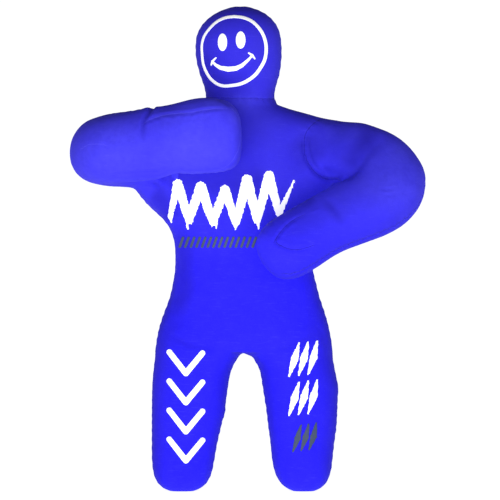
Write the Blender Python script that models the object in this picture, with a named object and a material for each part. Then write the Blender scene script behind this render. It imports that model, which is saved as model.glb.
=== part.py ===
"""Grappling dummy for children: a stuffed fabric figure standing on two blunt leg stumps, arms folded in front.

Metres, +Z up, the figure faces -Y and its own right arm is at -X. Every limb is a sewn cover of panels round a
core of stuffing. The one continuous cover of the real figure is parted at each bend (waist, neck, shoulders,
elbows, hips, knees), so that the bends can turn: at a bend one core ends in a round boss, its neighbour in a
hollow, and both rims are cut back on the closing side.
"""

import math

import bmesh
import bpy
import numpy as np

# ---------------------------------------------------------------- driving dimensions
Y_SHIFT = 0.0771          # puts the middle of the depth at y = 0
FABRIC = 0.003            # cover thickness with its lining
SLACK = 0.003             # room between the cover and the core
SEAM_GAP = 0.0004         # between two panels that are sewn edge to edge
RIM_GAP = 0.0006          # half the gap between the rims at a bend
BOSS_ROOM = 0.005         # how much wider a hollow is than its boss

MID_X = -0.0075           # the figure's mid-plane
WAIST_Z = 0.585
NECK_Z = 0.985
NECK_X = -0.0190
HIP_Z = 0.352
KNEE_Z = 0.172
BACK_Y = 0.106            # straight back line that the zip lies along

WAIST_RANGE = (-20.0, 8.0)
NECK_RANGE = (-25.0, 20.0)
SHOULDER_R_RANGE = (-8.0, 30.0)
SHOULDER_L_RANGE = (-15.0, 25.0)
ELBOW_RANGE = (0.0, 95.0)
HIP_RANGE = (-20.0, 80.0)
KNEE_RANGE = (0.0, 90.0)
SPARE = 3.5               # degrees of extra clearance on each closing side

SHOULDER_R = (-0.225, 0.0, 0.858)
SHOULDER_L = (0.202, 0.0, 0.858)
ARMHOLE_TILT = math.radians(19.4)
HIP_R = (-0.1215, 0.0, HIP_Z)
HIP_L = (0.1065, 0.0, HIP_Z)
KNEE_R = (-0.1520, -0.010, KNEE_Z)
KNEE_L = (0.1370, -0.010, KNEE_Z)

# right elbow: the arm turns back on itself in a level plane round this crease
CREASE_R = (-0.2705, -0.102, 0.8585)
# left elbow: the arm turns back in a plane that leans forward as it goes down
CREASE_L = (0.2440, -0.0900, 0.7820)
UPPER_DIR_L = (0.940, -0.200, -0.280)
FORE_DIR_L = (-0.830, -0.300, -0.480)

ZIP_TOP, ZIP_BOTTOM = 0.856, 0.625
ZIP_HALF_GAP = 0.0040     # half the slit between the two back panels

BLUE, DARK_BLUE, WHITE, GREY = (0.040, 0.026, 0.900), (0.030, 0.020, 0.55), (0.93, 0.93, 0.94), (0.055, 0.085, 0.150)
FILL, METAL = (0.72, 0.70, 0.66), (0.05, 0.05, 0.06)

AROUND = 14               # facets round a limb
AROUND_TORSO = 20


# ---------------------------------------------------------------- scene and materials
for old in list(bpy.data.objects):
    bpy.data.objects.remove(old, do_unlink=True)

figure = bpy.data.objects.new("figure", None)
bpy.context.scene.collection.objects.link(figure)


def material(name, colour, roughness=0.85, metallic=0.0):
    found = bpy.data.materials.get(name)
    if found:
        return found
    made = bpy.data.materials.new(name)
    made.use_nodes = True
    shader = made.node_tree.nodes["Principled BSDF"]
    shader.inputs["Base Color"].default_value = (*colour, 1.0)
    shader.inputs["Roughness"].default_value = roughness
    shader.inputs["Metallic"].default_value = metallic
    made.diffuse_color = (*colour, 1.0)
    return made


def unit(v):
    v = np.asarray(v, float)
    return v / np.linalg.norm(v)


def solid(name, points, faces, mat, origin=(0, 0, 0)):
    """One closed mesh object whose origin sits at `origin`, for a moving piece its pivot."""
    move = np.array([0, Y_SHIFT, 0])
    origin = np.asarray(origin, float) + (move if any(origin) else 0)
    mesh = bpy.data.meshes.new(name)
    bm = bmesh.new()
    verts = [bm.verts.new(tuple(np.asarray(p, float) + move - origin)) for p in points]
    for face in faces:
        ring = []
        for i in face:
            if verts[i] not in ring:
                ring.append(verts[i])
        if len(ring) > 2:
            bm.faces.new(ring)
    bmesh.ops.remove_doubles(bm, verts=bm.verts, dist=1e-6)
    bmesh.ops.recalc_face_normals(bm, faces=bm.faces)
    if bm.calc_volume(signed=True) < 0:
        bmesh.ops.reverse_faces(bm, faces=bm.faces)
    bmesh.ops.triangulate(bm, faces=bm.faces)
    bm.to_mesh(mesh)
    bm.free()
    mesh.shade_smooth()
    mesh.set_sharp_from_angle(angle=math.radians(50))
    mesh.materials.append(mat)
    made = bpy.data.objects.new(name, mesh)
    made.location = tuple(origin)
    made.parent = figure
    bpy.context.scene.collection.objects.link(made)
    return made


# ---------------------------------------------------------------- limbs as lofts
def smooth(keys, values, at):
    """Monotone cubic through (keys, values), read at `at`."""
    k, v = np.asarray(keys, float), np.asarray(values, float)
    step = np.diff(k)
    slope = np.diff(v) / step
    m = np.empty(len(k))
    m[0], m[-1] = slope[0], slope[-1]
    for i in range(1, len(k) - 1):
        if slope[i - 1] * slope[i] <= 0:
            m[i] = 0.0
        else:
            w1, w2 = 2 * step[i] + step[i - 1], step[i] + 2 * step[i - 1]
            m[i] = (w1 + w2) / (w1 / slope[i - 1] + w2 / slope[i])
    at = np.clip(np.asarray(at, float), k[0], k[-1])
    i = np.clip(np.searchsorted(k, at) - 1, 0, len(k) - 2)
    h = step[i]
    s = (at - k[i]) / h
    return (
        (1 + 2 * s) * (1 - s) ** 2 * v[i]
        + s * (1 - s) ** 2 * h * m[i]
        + s * s * (3 - 2 * s) * v[i + 1]
        + s * s * (s - 1) * h * m[i + 1]
    )


class Limb:
    """Sections strung along a path: (centre, width axis u, depth axis v, half width, half depth, squareness)."""

    def __init__(self, sections):
        self.c = np.array([s[0] for s in sections], float)
        self.u = np.array([unit(s[1]) for s in sections])
        self.v = np.array([unit(s[2]) for s in sections])
        self.a = np.array([s[3] for s in sections], float)
        self.b = np.array([s[4] for s in sections], float)
        self.n = np.array([s[5] for s in sections], float)
        gaps = np.linalg.norm(np.diff(self.c, axis=0), axis=1)
        self.t = np.concatenate([[0], np.cumsum(gaps)]) / gaps.sum()
        self.length = gaps.sum()

    def read(self, table, t):
        if table.ndim == 1:
            return smooth(self.t, table, t)
        return np.stack([smooth(self.t, table[:, k], t) for k in range(3)], axis=-1)

    def points(self, t, phi, inset=0.0, share=1.0, shift=0.0):
        t, phi = np.broadcast_arrays(np.asarray(t, float), np.asarray(phi, float))
        c, u, v = self.read(self.c, t), self.read(self.u, t), self.read(self.v, t)
        u = u / np.linalg.norm(u, axis=-1, keepdims=True)
        v = v / np.linalg.norm(v, axis=-1, keepdims=True)
        a, b, n = self.read(self.a, t), self.read(self.b, t), self.read(self.n, t)
        ca, sa = np.cos(phi), np.sin(phi)
        r = (np.abs(ca) ** n + np.abs(sa) ** n) ** (-1 / n) * share
        x = np.maximum(a - inset, 0.002) * ca * r
        y = np.maximum(b - inset, 0.002) * sa * r + shift
        return c + x[..., None] * u + y[..., None] * v


class Bend:
    """The cut of one limb at a bend. `into` points into this limb, `axis` is the hinge, and a limb's rim is cut
    back by `plus` degrees on the side axis x into, and by `minus` on the other."""

    def __init__(self, pivot, into, axis, plus, minus, boss=0.0, hollow=0.0):
        self.p, self.m, self.h = np.array(pivot, float), unit(into), unit(axis)
        self.s = unit(np.cross(self.h, self.m))
        self.plus, self.minus = math.radians(plus), math.radians(minus)
        self.boss, self.hollow = boss, hollow

    def inside(self, q, rim_only=False):
        q = q - self.p
        h, s = q @ self.m, q @ self.s
        one = h * math.cos(self.plus) - s * math.sin(self.plus) - RIM_GAP
        two = h * math.cos(self.minus) + s * math.sin(self.minus) - RIM_GAP
        kept = np.minimum(one, two)
        far = np.linalg.norm(q, axis=-1)
        if self.boss and not rim_only:
            kept = np.maximum(kept, self.boss - far)
        if self.hollow:
            kept = np.minimum(kept, far - self.hollow)
        return kept


def first_exit(limb, t_in, t_out, phi, bend, rim_only=False, **how):
    """Where the line of a limb's surface at angle phi first leaves what the bend keeps."""
    steps = np.linspace(t_in, t_out, 90)
    kept = bend.inside(limb.points(steps, np.full(90, phi), **how), rim_only)
    gone = np.nonzero(kept < 0)[0]
    if not len(gone):
        return t_out
    i = max(gone[0], 1)
    lo, hi = steps[i - 1], steps[i]
    for _ in range(24):
        mid = (lo + hi) / 2
        if bend.inside(limb.points(mid, phi, **how), rim_only) < 0:
            hi = mid
        else:
            lo = mid
    return lo


CAP_RADII = (1.004, 0.90, 0.64, 0.33, 0.0)


def cap_rings(bend, rim):
    """Rings that close a core at a bend, from its rim inwards: flat, then over the boss or into the hollow."""
    ball = bend.boss or bend.hollow
    flat = [q - bend.p - np.dot(q - bend.p, bend.m) * bend.m for q in rim]
    rings = []
    for share in CAP_RADII:
        ring = []
        for way in flat:
            rho = np.linalg.norm(way)
            r = min(share * ball, 0.985 * rho)
            spot = way * (r / rho)
            s = spot @ bend.s
            wedge = (math.tan(bend.plus) * s if s > 0 else -math.tan(bend.minus) * s) + RIM_GAP * 1.2
            dome = math.sqrt(max(ball * ball - r * r, 0.0))
            if bend.hollow:
                height = max(wedge, dome)
            else:
                height = -dome if wedge < dome and r < ball else wedge
            ring.append(bend.p + spot + height * bend.m)
        rings.append(ring)
    return rings


def core(name, limb, mat, rows, start=None, end=None, around=AROUND, inset=FABRIC + SLACK, origin=(0, 0, 0),
         blind=(0.0, 0.0), middle=0.5):
    """The stuffing of one limb, closed at both ends by its bends or, where there is none, by its own blunt tip."""
    angles = np.arange(around) * 2 * math.pi / around
    lo_blind, hi_blind = blind[0] / limb.length, 1 - blind[1] / limb.length
    lo = [first_exit(limb, middle, 0.0, p, start, rim_only=True, inset=inset) if start else lo_blind for p in angles]
    hi = [first_exit(limb, middle, 1.0, p, end, rim_only=True, inset=inset) if end else hi_blind for p in angles]
    grid = [[limb.points(l + (h - l) * share, p, inset=inset) for l, h, p in zip(lo, hi, angles)] for share in rows]
    pts, faces = [], []

    def ring(points):
        first = len(pts)
        pts.extend(points)
        return list(range(first, first + len(points)))

    def bridge(one, two):
        for i in range(around):
            j = (i + 1) % around
            faces.append((one[i], one[j], two[j], two[i]))

    def close(last, rim, bend, t_to):
        if bend:
            *rings, centre = cap_rings(bend, rim)
            tip = centre[0]
        else:
            rings = [[limb.points(t_to, p, inset=inset, share=0.6) for p in angles]]
            tip = limb.points(t_to, 0.0, inset=inset, share=0.0)
        for points in rings:
            new = ring(points)
            bridge(last, new)
            last = new
        centre = ring([tip])[0]
        for i in range(around):
            faces.append((last[i], last[(i + 1) % around], centre))

    loops = [ring(row) for row in grid]
    for one, two in zip(loops, loops[1:]):
        bridge(one, two)
    close(loops[0], grid[0], start, lo_blind)
    close(loops[-1], grid[-1], end, hi_blind)
    return solid(name, pts, faces, mat, origin)


def panel(name, limb, mat, rows, side, start=None, end=None, around=AROUND, thick=FABRIC, origin=(0, 0, 0),
          middle=0.5, edges=None):
    """One sewn panel of a limb's cover: the half on the +v side (side 1) or on the -v side (side -1)."""
    count = around // 2
    phis = np.linspace(0, math.pi, count + 1) * side
    shift = side * SEAM_GAP / 2
    tip = thick / limb.length
    sheets = []
    for inset, short in ((0.0, 0.0), (thick, tip)):
        how = dict(inset=inset, shift=shift)
        ends = []
        for i, p in enumerate(phis):
            lo, hi = short, 1 - short
            for _ in range(3 if edges else 1):
                at_lo = edges(limb, lo, i / count, side, inset) if edges else p
                at_hi = edges(limb, hi, i / count, side, inset) if edges else p
                if start:
                    lo = first_exit(limb, middle, 0.0, at_lo, start, rim_only=True, **how)
                if end:
                    hi = first_exit(limb, middle, 1.0, at_hi, end, rim_only=True, **how)
            ends.append((lo, hi))
        sheet = []
        for share in rows:
            row = []
            for i, (p, (lo, hi)) in enumerate(zip(phis, ends)):
                t = lo + (hi - lo) * share
                if edges is not None:
                    p = edges(limb, t, i / count, side, inset)
                row.append(limb.points(t, p, **how))
            sheet.append(row)
        if not start:
            sheet.insert(0, [limb.points(short, p, share=0.55, **how) for p in phis])
            sheet.insert(0, [limb.points(short, 0.0, share=0.0, **how)] * len(phis))
        if not end:
            sheet.append([limb.points(1 - short, p, share=0.55, **how) for p in phis])
            sheet.append([limb.points(1 - short, 0.0, share=0.0, **how)] * len(phis))
        sheets.append(sheet)
    pts, index = [], {}

    def vertex(p):
        key = tuple(np.round(p, 7))
        if key not in index:
            index[key] = len(pts)
            pts.append(p)
        return index[key]

    outer = [[vertex(p) for p in row] for row in sheets[0]]
    inner = [[vertex(p) for p in row] for row in sheets[1]]
    faces = []
    m, n = len(outer), len(outer[0])
    for j in range(m - 1):
        for i in range(n - 1):
            faces.append((outer[j][i], outer[j][i + 1], outer[j + 1][i + 1], outer[j + 1][i]))
            faces.append((inner[j][i], inner[j + 1][i], inner[j + 1][i + 1], inner[j][i + 1]))
        for i in (0, n - 1):
            faces.append((outer[j][i], outer[j + 1][i], inner[j + 1][i], inner[j][i]))
    for i in range(n - 1):
        for j in (0, m - 1):
            faces.append((outer[j][i], outer[j][i + 1], inner[j][i + 1], inner[j][i]))
    return solid(name, pts, faces, mat, origin)


def cut(made, cutter):
    modifier = made.modifiers.new("cut", "BOOLEAN")
    modifier.operation = "DIFFERENCE"
    modifier.solver = "EXACT"
    modifier.object = cutter


def as_cutter(made):
    made.hide_render = True
    made.display_type = "WIRE"
    return made


# ---------------------------------------------------------------- the limbs' shapes
X, Y, Z = (1, 0, 0), (0, 1, 0), (0, 0, 1)


def upright(table):
    """Level sections from (z, x, y, half width, half depth, squareness)."""
    return Limb([((x, y, z), X, Y, a, b, n) for z, x, y, a, b, n in table])


head = upright([
    (0.940, -0.0185, 0.002, 0.0880, 0.0740, 2.1),
    (0.985, -0.0188, 0.002, 0.0860, 0.0735, 2.1),
    (1.015, -0.0190, 0.000, 0.0893, 0.0770, 2.1),
    (1.045, -0.0200, -0.002, 0.0980, 0.0860, 2.1),
    (1.075, -0.0215, -0.003, 0.1044, 0.0930, 2.1),
    (1.106, -0.0226, -0.003, 0.1080, 0.0970, 2.1),
    (1.136, -0.0226, -0.002, 0.1080, 0.0970, 2.1),
    (1.166, -0.0210, 0.000, 0.1006, 0.0900, 2.1),
    (1.184, -0.0195, 0.001, 0.0885, 0.0800, 2.1),
    (1.200, -0.0180, 0.001, 0.0700, 0.0640, 2.1),
    (1.212, -0.0175, 0.001, 0.0465, 0.0430, 2.1),
    (1.220, -0.0175, 0.001, 0.0200, 0.0180, 2.1),
])


def back_line(z, x, a, b, n):
    return (z, x, BACK_Y - b, a, b, n)


chest = upright([
    back_line(0.545, MID_X, 0.176, 0.1000, 2.4),
    back_line(0.585, MID_X, 0.174, 0.0995, 2.4),
    back_line(0.625, MID_X, 0.176, 0.1005, 2.4),
    back_line(0.655, MID_X, 0.184, 0.1015, 2.5),
    back_line(0.690, MID_X - 0.010, 0.196, 0.1020, 2.3),
    back_line(0.720, MID_X - 0.020, 0.218, 0.1020, 2.3),
    back_line(0.755, MID_X - 0.022, 0.248, 0.1020, 2.5),
    back_line(0.800, MID_X - 0.010, 0.284, 0.1020, 2.9),
    back_line(0.860, MID_X, 0.296, 0.1020, 3.0),
    back_line(0.900, MID_X, 0.290, 0.0990, 3.0),
    (0.925, MID_X - 0.002, 0.004, 0.262, 0.0930, 2.8),
    (0.945, MID_X - 0.005, 0.003, 0.205, 0.0850, 2.5),
    (0.960, MID_X - 0.008, 0.002, 0.150, 0.0780, 2.3),
    (0.972, MID_X - 0.010, 0.002, 0.110, 0.0745, 2.2),
    (0.985, NECK_X, 0.002, 0.0865, 0.0735, 2.1),
    (1.030, NECK_X, 0.002, 0.0860, 0.0735, 2.1),
])

pelvis = upright([
    (0.352, MID_X, 0.004, 0.2235, 0.0960, 2.5),
    (0.366, MID_X, 0.005, 0.2226, 0.0980, 2.5),
    (0.396, MID_X, 0.007, 0.2176, 0.1030, 2.5),
    (0.426, MID_X, 0.009, 0.2100, 0.1050, 2.5),
    (0.457, MID_X, 0.010, 0.2000, 0.1050, 2.4),
    (0.487, MID_X, 0.009, 0.1890, 0.1030, 2.4),
    (0.517, MID_X, 0.008, 0.1825, 0.1010, 2.4),
    (0.547, MID_X, 0.0065, 0.1765, 0.0998, 2.4),
    (0.585, MID_X, 0.0065, 0.1740, 0.0995, 2.4),
    (0.625, MID_X, 0.0065, 0.1750, 0.0995, 2.4),
])


def leg(rows):
    return upright(sorted(rows))


thigh_r = leg([
    (0.400, -0.1215, 0.004, 0.1120, 0.0950, 2.2), (0.352, -0.1225, 0.003, 0.1105, 0.0930, 2.2),
    (0.321, -0.1330, 0.000, 0.1005, 0.0905, 2.2), (0.290, -0.1410, -0.003, 0.0960, 0.0885, 2.2),
    (0.260, -0.1446, -0.005, 0.0943, 0.0870, 2.2), (0.215, -0.1484, -0.008, 0.0906, 0.0850, 2.2),
    (0.172, -0.1520, -0.010, 0.0870, 0.0830, 2.2), (0.130, -0.1560, -0.012, 0.0830, 0.0800, 2.2),
])
thigh_l = leg([
    (0.400, 0.1065, 0.004, 0.1100, 0.0950, 2.2), (0.352, 0.1075, 0.003, 0.1085, 0.0930, 2.2),
    (0.321, 0.1190, 0.000, 0.0975, 0.0905, 2.2), (0.290, 0.1270, -0.003, 0.0940, 0.0885, 2.2),
    (0.260, 0.1308, -0.005, 0.0931, 0.0870, 2.2), (0.215, 0.1346, -0.008, 0.0893, 0.0850, 2.2),
    (0.172, 0.1371, -0.010, 0.0865, 0.0830, 2.2), (0.130, 0.1384, -0.012, 0.0815, 0.0800, 2.2),
])
shin_r = leg([
    (0.215, -0.1484, -0.008, 0.0906, 0.0850, 2.2), (0.172, -0.1520, -0.010, 0.0870, 0.0830, 2.2),
    (0.125, -0.1570, -0.013, 0.0818, 0.0790, 2.2), (0.079, -0.1610, -0.017, 0.0780, 0.0760, 2.2),
    (0.049, -0.1625, -0.019, 0.0740, 0.0740, 2.3), (0.030, -0.1635, -0.020, 0.0690, 0.0720, 2.4),
    (0.014, -0.1640, -0.021, 0.0610, 0.0680, 2.5), (0.004, -0.1640, -0.022, 0.0540, 0.0630, 2.5),
    (0.000, -0.1640, -0.022, 0.0500, 0.0600, 2.5),
])
shin_l = leg([
    (0.215, 0.1346, -0.008, 0.0893, 0.0850, 2.2), (0.172, 0.1371, -0.010, 0.0865, 0.0830, 2.2),
    (0.125, 0.1384, -0.013, 0.0805, 0.0790, 2.2), (0.079, 0.1390, -0.017, 0.0757, 0.0760, 2.2),
    (0.049, 0.1405, -0.019, 0.0710, 0.0740, 2.3), (0.030, 0.1415, -0.020, 0.0660, 0.0720, 2.4),
    (0.014, 0.1425, -0.021, 0.0590, 0.0680, 2.5), (0.004, 0.1430, -0.022, 0.0520, 0.0630, 2.5),
    (0.000, 0.1430, -0.022, 0.0480, 0.0600, 2.5),
])


def fan(crease, out, down, upright_axis, turns):
    """Sections that turn about a crease: (turn in degrees, distance of the middle, half width, half depth)."""
    made = []
    crease, out, down = np.array(crease), unit(out), unit(down)
    for turn, far, a, b in turns:
        way = math.cos(math.radians(turn)) * out + math.sin(math.radians(turn)) * down
        made.append((crease + far * way, upright_axis, way, a, b, 2.2))
    return made


ELBOW_R_FAR, ELBOW_L_FAR = 0.0980, 0.1255          # crease to the elbow's pivot
elbow_r = (CREASE_R[0] - ELBOW_R_FAR, CREASE_R[1], CREASE_R[2])
upper_arm_r = Limb(
    [
        ((-0.150, 0.000, 0.862), Z, Y, 0.098, 0.086, 2.3),
        ((-0.190, 0.000, 0.860), Z, Y, 0.099, 0.086, 2.3),
        ((-0.228, -0.002, 0.857), Z, Y, 0.102, 0.086, 2.3),
        ((-0.252, -0.005, 0.857), Z, Y, 0.100, 0.086, 2.2),
    ]
    + fan(CREASE_R, (-1, 0, 0), (0, -1, 0), Z, [
        (-86, 0.094, 0.0965, 0.0860), (-66, 0.092, 0.0940, 0.0855), (-44, 0.091, 0.0915, 0.0850),
        (-22, 0.090, 0.0885, 0.0850), (0, 0.090, 0.0860, 0.0850), (30, 0.090, 0.0840, 0.0840)])
)
forearm_r = Limb(
    fan(CREASE_R, (-1, 0, 0), (0, -1, 0), Z, [
        (-30, 0.090, 0.0885, 0.0850), (0, 0.090, 0.0860, 0.0850), (22, 0.090, 0.0845, 0.0840),
        (44, 0.090, 0.0830, 0.0830), (66, 0.089, 0.0820, 0.0820), (86, 0.088, 0.0810, 0.0805)])
    + [
        ((-0.235, -0.190, 0.864), Z, (0, -1, 0), 0.0810, 0.0795, 2.2),
        ((-0.180, -0.191, 0.873), Z, (0, -1, 0), 0.0820, 0.0790, 2.3),
        ((-0.118, -0.192, 0.882), Z, (0, -1, 0), 0.0835, 0.0780, 2.4),
        ((-0.072, -0.192, 0.884), Z, (0, -1, 0), 0.0825, 0.0755, 2.6),
        ((-0.046, -0.192, 0.884), Z, (0, -1, 0), 0.0785, 0.0700, 2.7),
        ((-0.030, -0.192, 0.884), Z, (0, -1, 0), 0.0710, 0.0610, 2.7),
        ((-0.020, -0.192, 0.884), Z, (0, -1, 0), 0.0585, 0.0480, 2.6),
        ((-0.0155, -0.192, 0.884), Z, (0, -1, 0), 0.0405, 0.0320, 2.4),
    ]
)

ul, fl = unit(UPPER_DIR_L), unit(FORE_DIR_L)
out_l, down_l = unit(ul - fl), unit(ul + fl)          # away from the crease, and from upper arm to forearm
hinge_l = unit(np.cross(ul, fl))
half_turn = math.degrees(math.acos(float(np.clip(np.dot(ul, fl), -1, 1)))) / 2
elbow_l = tuple(np.array(CREASE_L) + ELBOW_L_FAR * out_l)
side_l = unit(np.cross(hinge_l, ul))                  # from the upper arm's middle towards the crease side or away
if np.dot(side_l, out_l) < 0:
    side_l = -side_l


def away(direction):
    way = unit(np.cross(hinge_l, direction))
    return way if np.dot(way, out_l) > 0 else -way


upper_way, fore_way = away(ul), away(fl)
u_start = np.array(CREASE_L) + 0.0870 * upper_way
f_start = np.array(CREASE_L) + 0.0840 * fore_way
upper_arm_l = Limb(
    [
        ((0.140, 0.004, 0.866), hinge_l, upper_way, 0.0850, 0.0860, 2.3),
        ((0.180, 0.002, 0.862), hinge_l, upper_way, 0.0850, 0.0865, 2.3),
        ((0.215, -0.006, 0.858), hinge_l, upper_way, 0.0850, 0.0860, 2.2),
        (u_start - 0.012 * ul, hinge_l, upper_way, 0.0850, 0.0855, 2.2),
    ]
    + fan(CREASE_L, out_l, down_l, hinge_l, [
        (-half_turn * 0.80, 0.0890, 0.0845, 0.0865), (-half_turn * 0.55, 0.0960, 0.0840, 0.0920),
        (-half_turn * 0.28, 0.1030, 0.0840, 0.0985), (0, 0.1060, 0.0835, 0.1015),
        (half_turn * 0.45, 0.1010, 0.0830, 0.0970)])
)
HAND_L = np.array((0.0430, -0.2000, 0.5800))
fore_len = np.linalg.norm(HAND_L - f_start)
run = unit(HAND_L - f_start)


def along(d):
    return f_start + d * run


hand_way = unit(fore_way - np.dot(fore_way, run) * run)
forearm_l = Limb(
    fan(CREASE_L, out_l, down_l, hinge_l, [
        (-half_turn * 0.45, 0.1010, 0.0840, 0.0970), (0, 0.1060, 0.0835, 0.1015),
        (half_turn * 0.28, 0.1020, 0.0830, 0.0975), (half_turn * 0.55, 0.0940, 0.0820, 0.0900),
        (half_turn * 0.80, 0.0870, 0.0800, 0.0840)])
    + [
        (along(0.012), hinge_l, hand_way, 0.0790, 0.0815, 2.2),
        (along(0.060), hinge_l, hand_way, 0.0780, 0.0795, 2.2),
        (along(fore_len - 0.130), hinge_l, hand_way, 0.0775, 0.0785, 2.3),
        (along(fore_len - 0.070), hinge_l, hand_way, 0.0750, 0.0780, 2.4),
        (along(fore_len - 0.038), hinge_l, hand_way, 0.0680, 0.0720, 2.4),
        (along(fore_len - 0.018), hinge_l, hand_way, 0.0560, 0.0610, 2.4),
        (along(fore_len - 0.006), hinge_l, hand_way, 0.0400, 0.0450, 2.3),
        (HAND_L, hinge_l, hand_way, 0.0230, 0.0260, 2.2),
    ]
)

# ---------------------------------------------------------------- the bends
NECK_BOSS, WAIST_BOSS, HIP_BOSS, KNEE_BOSS, SHOULDER_BOSS, ELBOW_BOSS = 0.060, 0.084, 0.078, 0.070, 0.072, 0.0765


def pair(pivot, up, axis, span, boss, boss_on_lower=True, closing_back=None):
    """The two cuts of a bend: for the limb below or inboard (into = -up) and for the one beyond (into = up).
    A positive turn of the limb beyond closes the bend on the side axis x up."""
    plus, minus = span[1] / 2 + (SPARE if span[1] else 0), -span[0] / 2 + (SPARE if span[0] else 0)
    near = Bend(pivot, -np.array(up), axis, minus, plus, boss=boss if boss_on_lower else 0,
                hollow=0 if boss_on_lower else boss + BOSS_ROOM)
    beyond = Bend(pivot, up, axis, plus, minus, boss=0 if boss_on_lower else boss,
                  hollow=boss + BOSS_ROOM if boss_on_lower else 0)
    return near, beyond


# A positive turn about the stated axis carries the limb beyond towards axis x into.
waist_low, waist_high = pair((MID_X, 0.0065, WAIST_Z), Z, X, WAIST_RANGE, WAIST_BOSS)
neck_low, neck_high = pair((NECK_X, 0.002, NECK_Z), Z, X, NECK_RANGE, NECK_BOSS)
out_r = (-math.cos(ARMHOLE_TILT), 0.0, math.sin(ARMHOLE_TILT))
out_ll = (math.cos(ARMHOLE_TILT), 0.0, math.sin(ARMHOLE_TILT))
shoulder_r_in, shoulder_r_out = pair(SHOULDER_R, out_r, Y, SHOULDER_R_RANGE, SHOULDER_BOSS, boss_on_lower=False)
shoulder_l_in, shoulder_l_out = pair(SHOULDER_L, out_ll, (0, -1, 0), SHOULDER_L_RANGE, SHOULDER_BOSS,
                                     boss_on_lower=False)
elbow_r_in, elbow_r_out = pair(elbow_r, (0, -1, 0), (0, 0, -1), ELBOW_RANGE, ELBOW_BOSS)
elbow_l_in, elbow_l_out = pair(elbow_l, down_l, -hinge_l, ELBOW_RANGE, ELBOW_BOSS)
for bend in (elbow_r_in, elbow_l_in):       # at the elbows a loose ball of stuffing fills both hollows
    bend.boss, bend.hollow = 0.0, ELBOW_BOSS + BOSS_ROOM
hip_r_in, hip_r_out = pair(HIP_R, (0, 0, -1), (-1, 0, 0), HIP_RANGE, HIP_BOSS, boss_on_lower=False)
hip_l_in, hip_l_out = pair(HIP_L, (0, 0, -1), (-1, 0, 0), HIP_RANGE, HIP_BOSS, boss_on_lower=False)
knee_r_in, knee_r_out = pair(KNEE_R, (0, 0, -1), X, KNEE_RANGE, KNEE_BOSS)
knee_l_in, knee_l_out = pair(KNEE_L, (0, 0, -1), X, KNEE_RANGE, KNEE_BOSS)

cover = material("blue_fabric", BLUE)
fill = material("stuffing", FILL, 0.95)
print_white = material("print_white", WHITE, 0.6)
print_grey = material("print_grey", GREY, 0.6)
tape = material("zip_tape", DARK_BLUE, 0.8)
teeth = material("zip_teeth", METAL, 0.5)
metal = material("zip_metal", METAL, 0.35, 0.9)


def even(count):
    return np.linspace(0, 1, count)


# ---------------------------------------------------------------- head
HEAD_ROWS = (0.0, 0.15, 0.30, 0.45, 0.62, 0.77, 0.87, 0.94, 0.98, 1.0)
core("head_stuffing", head, fill, HEAD_ROWS, start=neck_high, origin=(NECK_X, 0.002, NECK_Z), blind=(0, 0.006))
panel("head_back_panel", head, cover, HEAD_ROWS, 1, start=neck_high, origin=(NECK_X, 0.002, NECK_Z))
panel("head_front_panel", head, cover, HEAD_ROWS, -1, start=neck_high, origin=(NECK_X, 0.002, NECK_Z))

# ---------------------------------------------------------------- chest
CHEST_ROWS = (0.0, 0.14, 0.25, 0.35, 0.46, 0.62, 0.76, 0.84, 0.89, 0.93, 0.96, 1.0)


def armhole_cutter(name, bend, reach=0.24):
    """Everything beyond an armhole's plane, with a round end that hollows out the chest for the arm's boss."""
    radial = 20
    pts, faces = [], []
    outward = -bend.m
    m, h, s = outward, bend.h, unit(np.cross(outward, bend.h))

    def height(x, y):
        way = x * s + y * h
        side = way @ bend.s
        lean = math.tan(bend.plus) * max(side, 0) + math.tan(bend.minus) * max(-side, 0)
        dome = bend.hollow ** 2 - x * x - y * y
        return max(lean + RIM_GAP, math.sqrt(dome) if dome > 0 else 0)

    radii = [0.0, 0.33, 0.64, 0.9, 1.0]
    radii = [r * bend.hollow for r in radii] + [0.16, 0.30]
    centre = len(pts)
    pts.append(bend.p - height(0, 0) * m)
    previous = None
    for r in radii[1:]:
        loop = []
        for k in range(radial):
            a = 2 * math.pi * k / radial
            x, y = r * math.cos(a), r * math.sin(a)
            loop.append(len(pts))
            pts.append(bend.p + x * s + y * h - height(x, y) * m)
        if previous is None:
            for k in range(radial):
                faces.append((centre, loop[k], loop[(k + 1) % radial]))
        else:
            for k in range(radial):
                faces.append((previous[k], loop[k], loop[(k + 1) % radial], previous[(k + 1) % radial]))
        previous = loop
    far = []
    for k in range(radial):
        a = 2 * math.pi * k / radial
        far.append(len(pts))
        pts.append(bend.p + 0.30 * math.cos(a) * s + 0.30 * math.sin(a) * h + reach * m)
    for k in range(radial):
        faces.append((previous[k], far[k], far[(k + 1) % radial], previous[(k + 1) % radial]))
    end = len(pts)
    pts.append(bend.p + reach * m)
    for k in range(radial):
        faces.append((far[k], end, far[(k + 1) % radial]))
    return as_cutter(solid(name, pts, faces, fill))


armhole_r = armhole_cutter("cutter_armhole_right", shoulder_r_in)
armhole_l = armhole_cutter("cutter_armhole_left", shoulder_l_in)


def back_edges(which):
    """The back panels run from the side seam to the straight slit that the zip closes."""

    def edge(limb, t, share, side, inset):
        c, a = limb.read(limb.c, t), limb.read(limb.a, t) - inset
        n = limb.read(limb.n, t)
        want = (MID_X - which * ZIP_HALF_GAP - c[0]) / a
        # polar angle whose across value is `want`
        lo, hi = 0.0, math.pi
        for _ in range(40):
            mid = (lo + hi) / 2
            ca, sa = math.cos(mid), math.sin(mid)
            if ca * (abs(ca) ** n + abs(sa) ** n) ** (-1 / n) > want:
                lo = mid
            else:
                hi = mid
        slit = (lo + hi) / 2
        return math.pi + (slit - math.pi) * share if which > 0 else slit * share

    return edge


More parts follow.
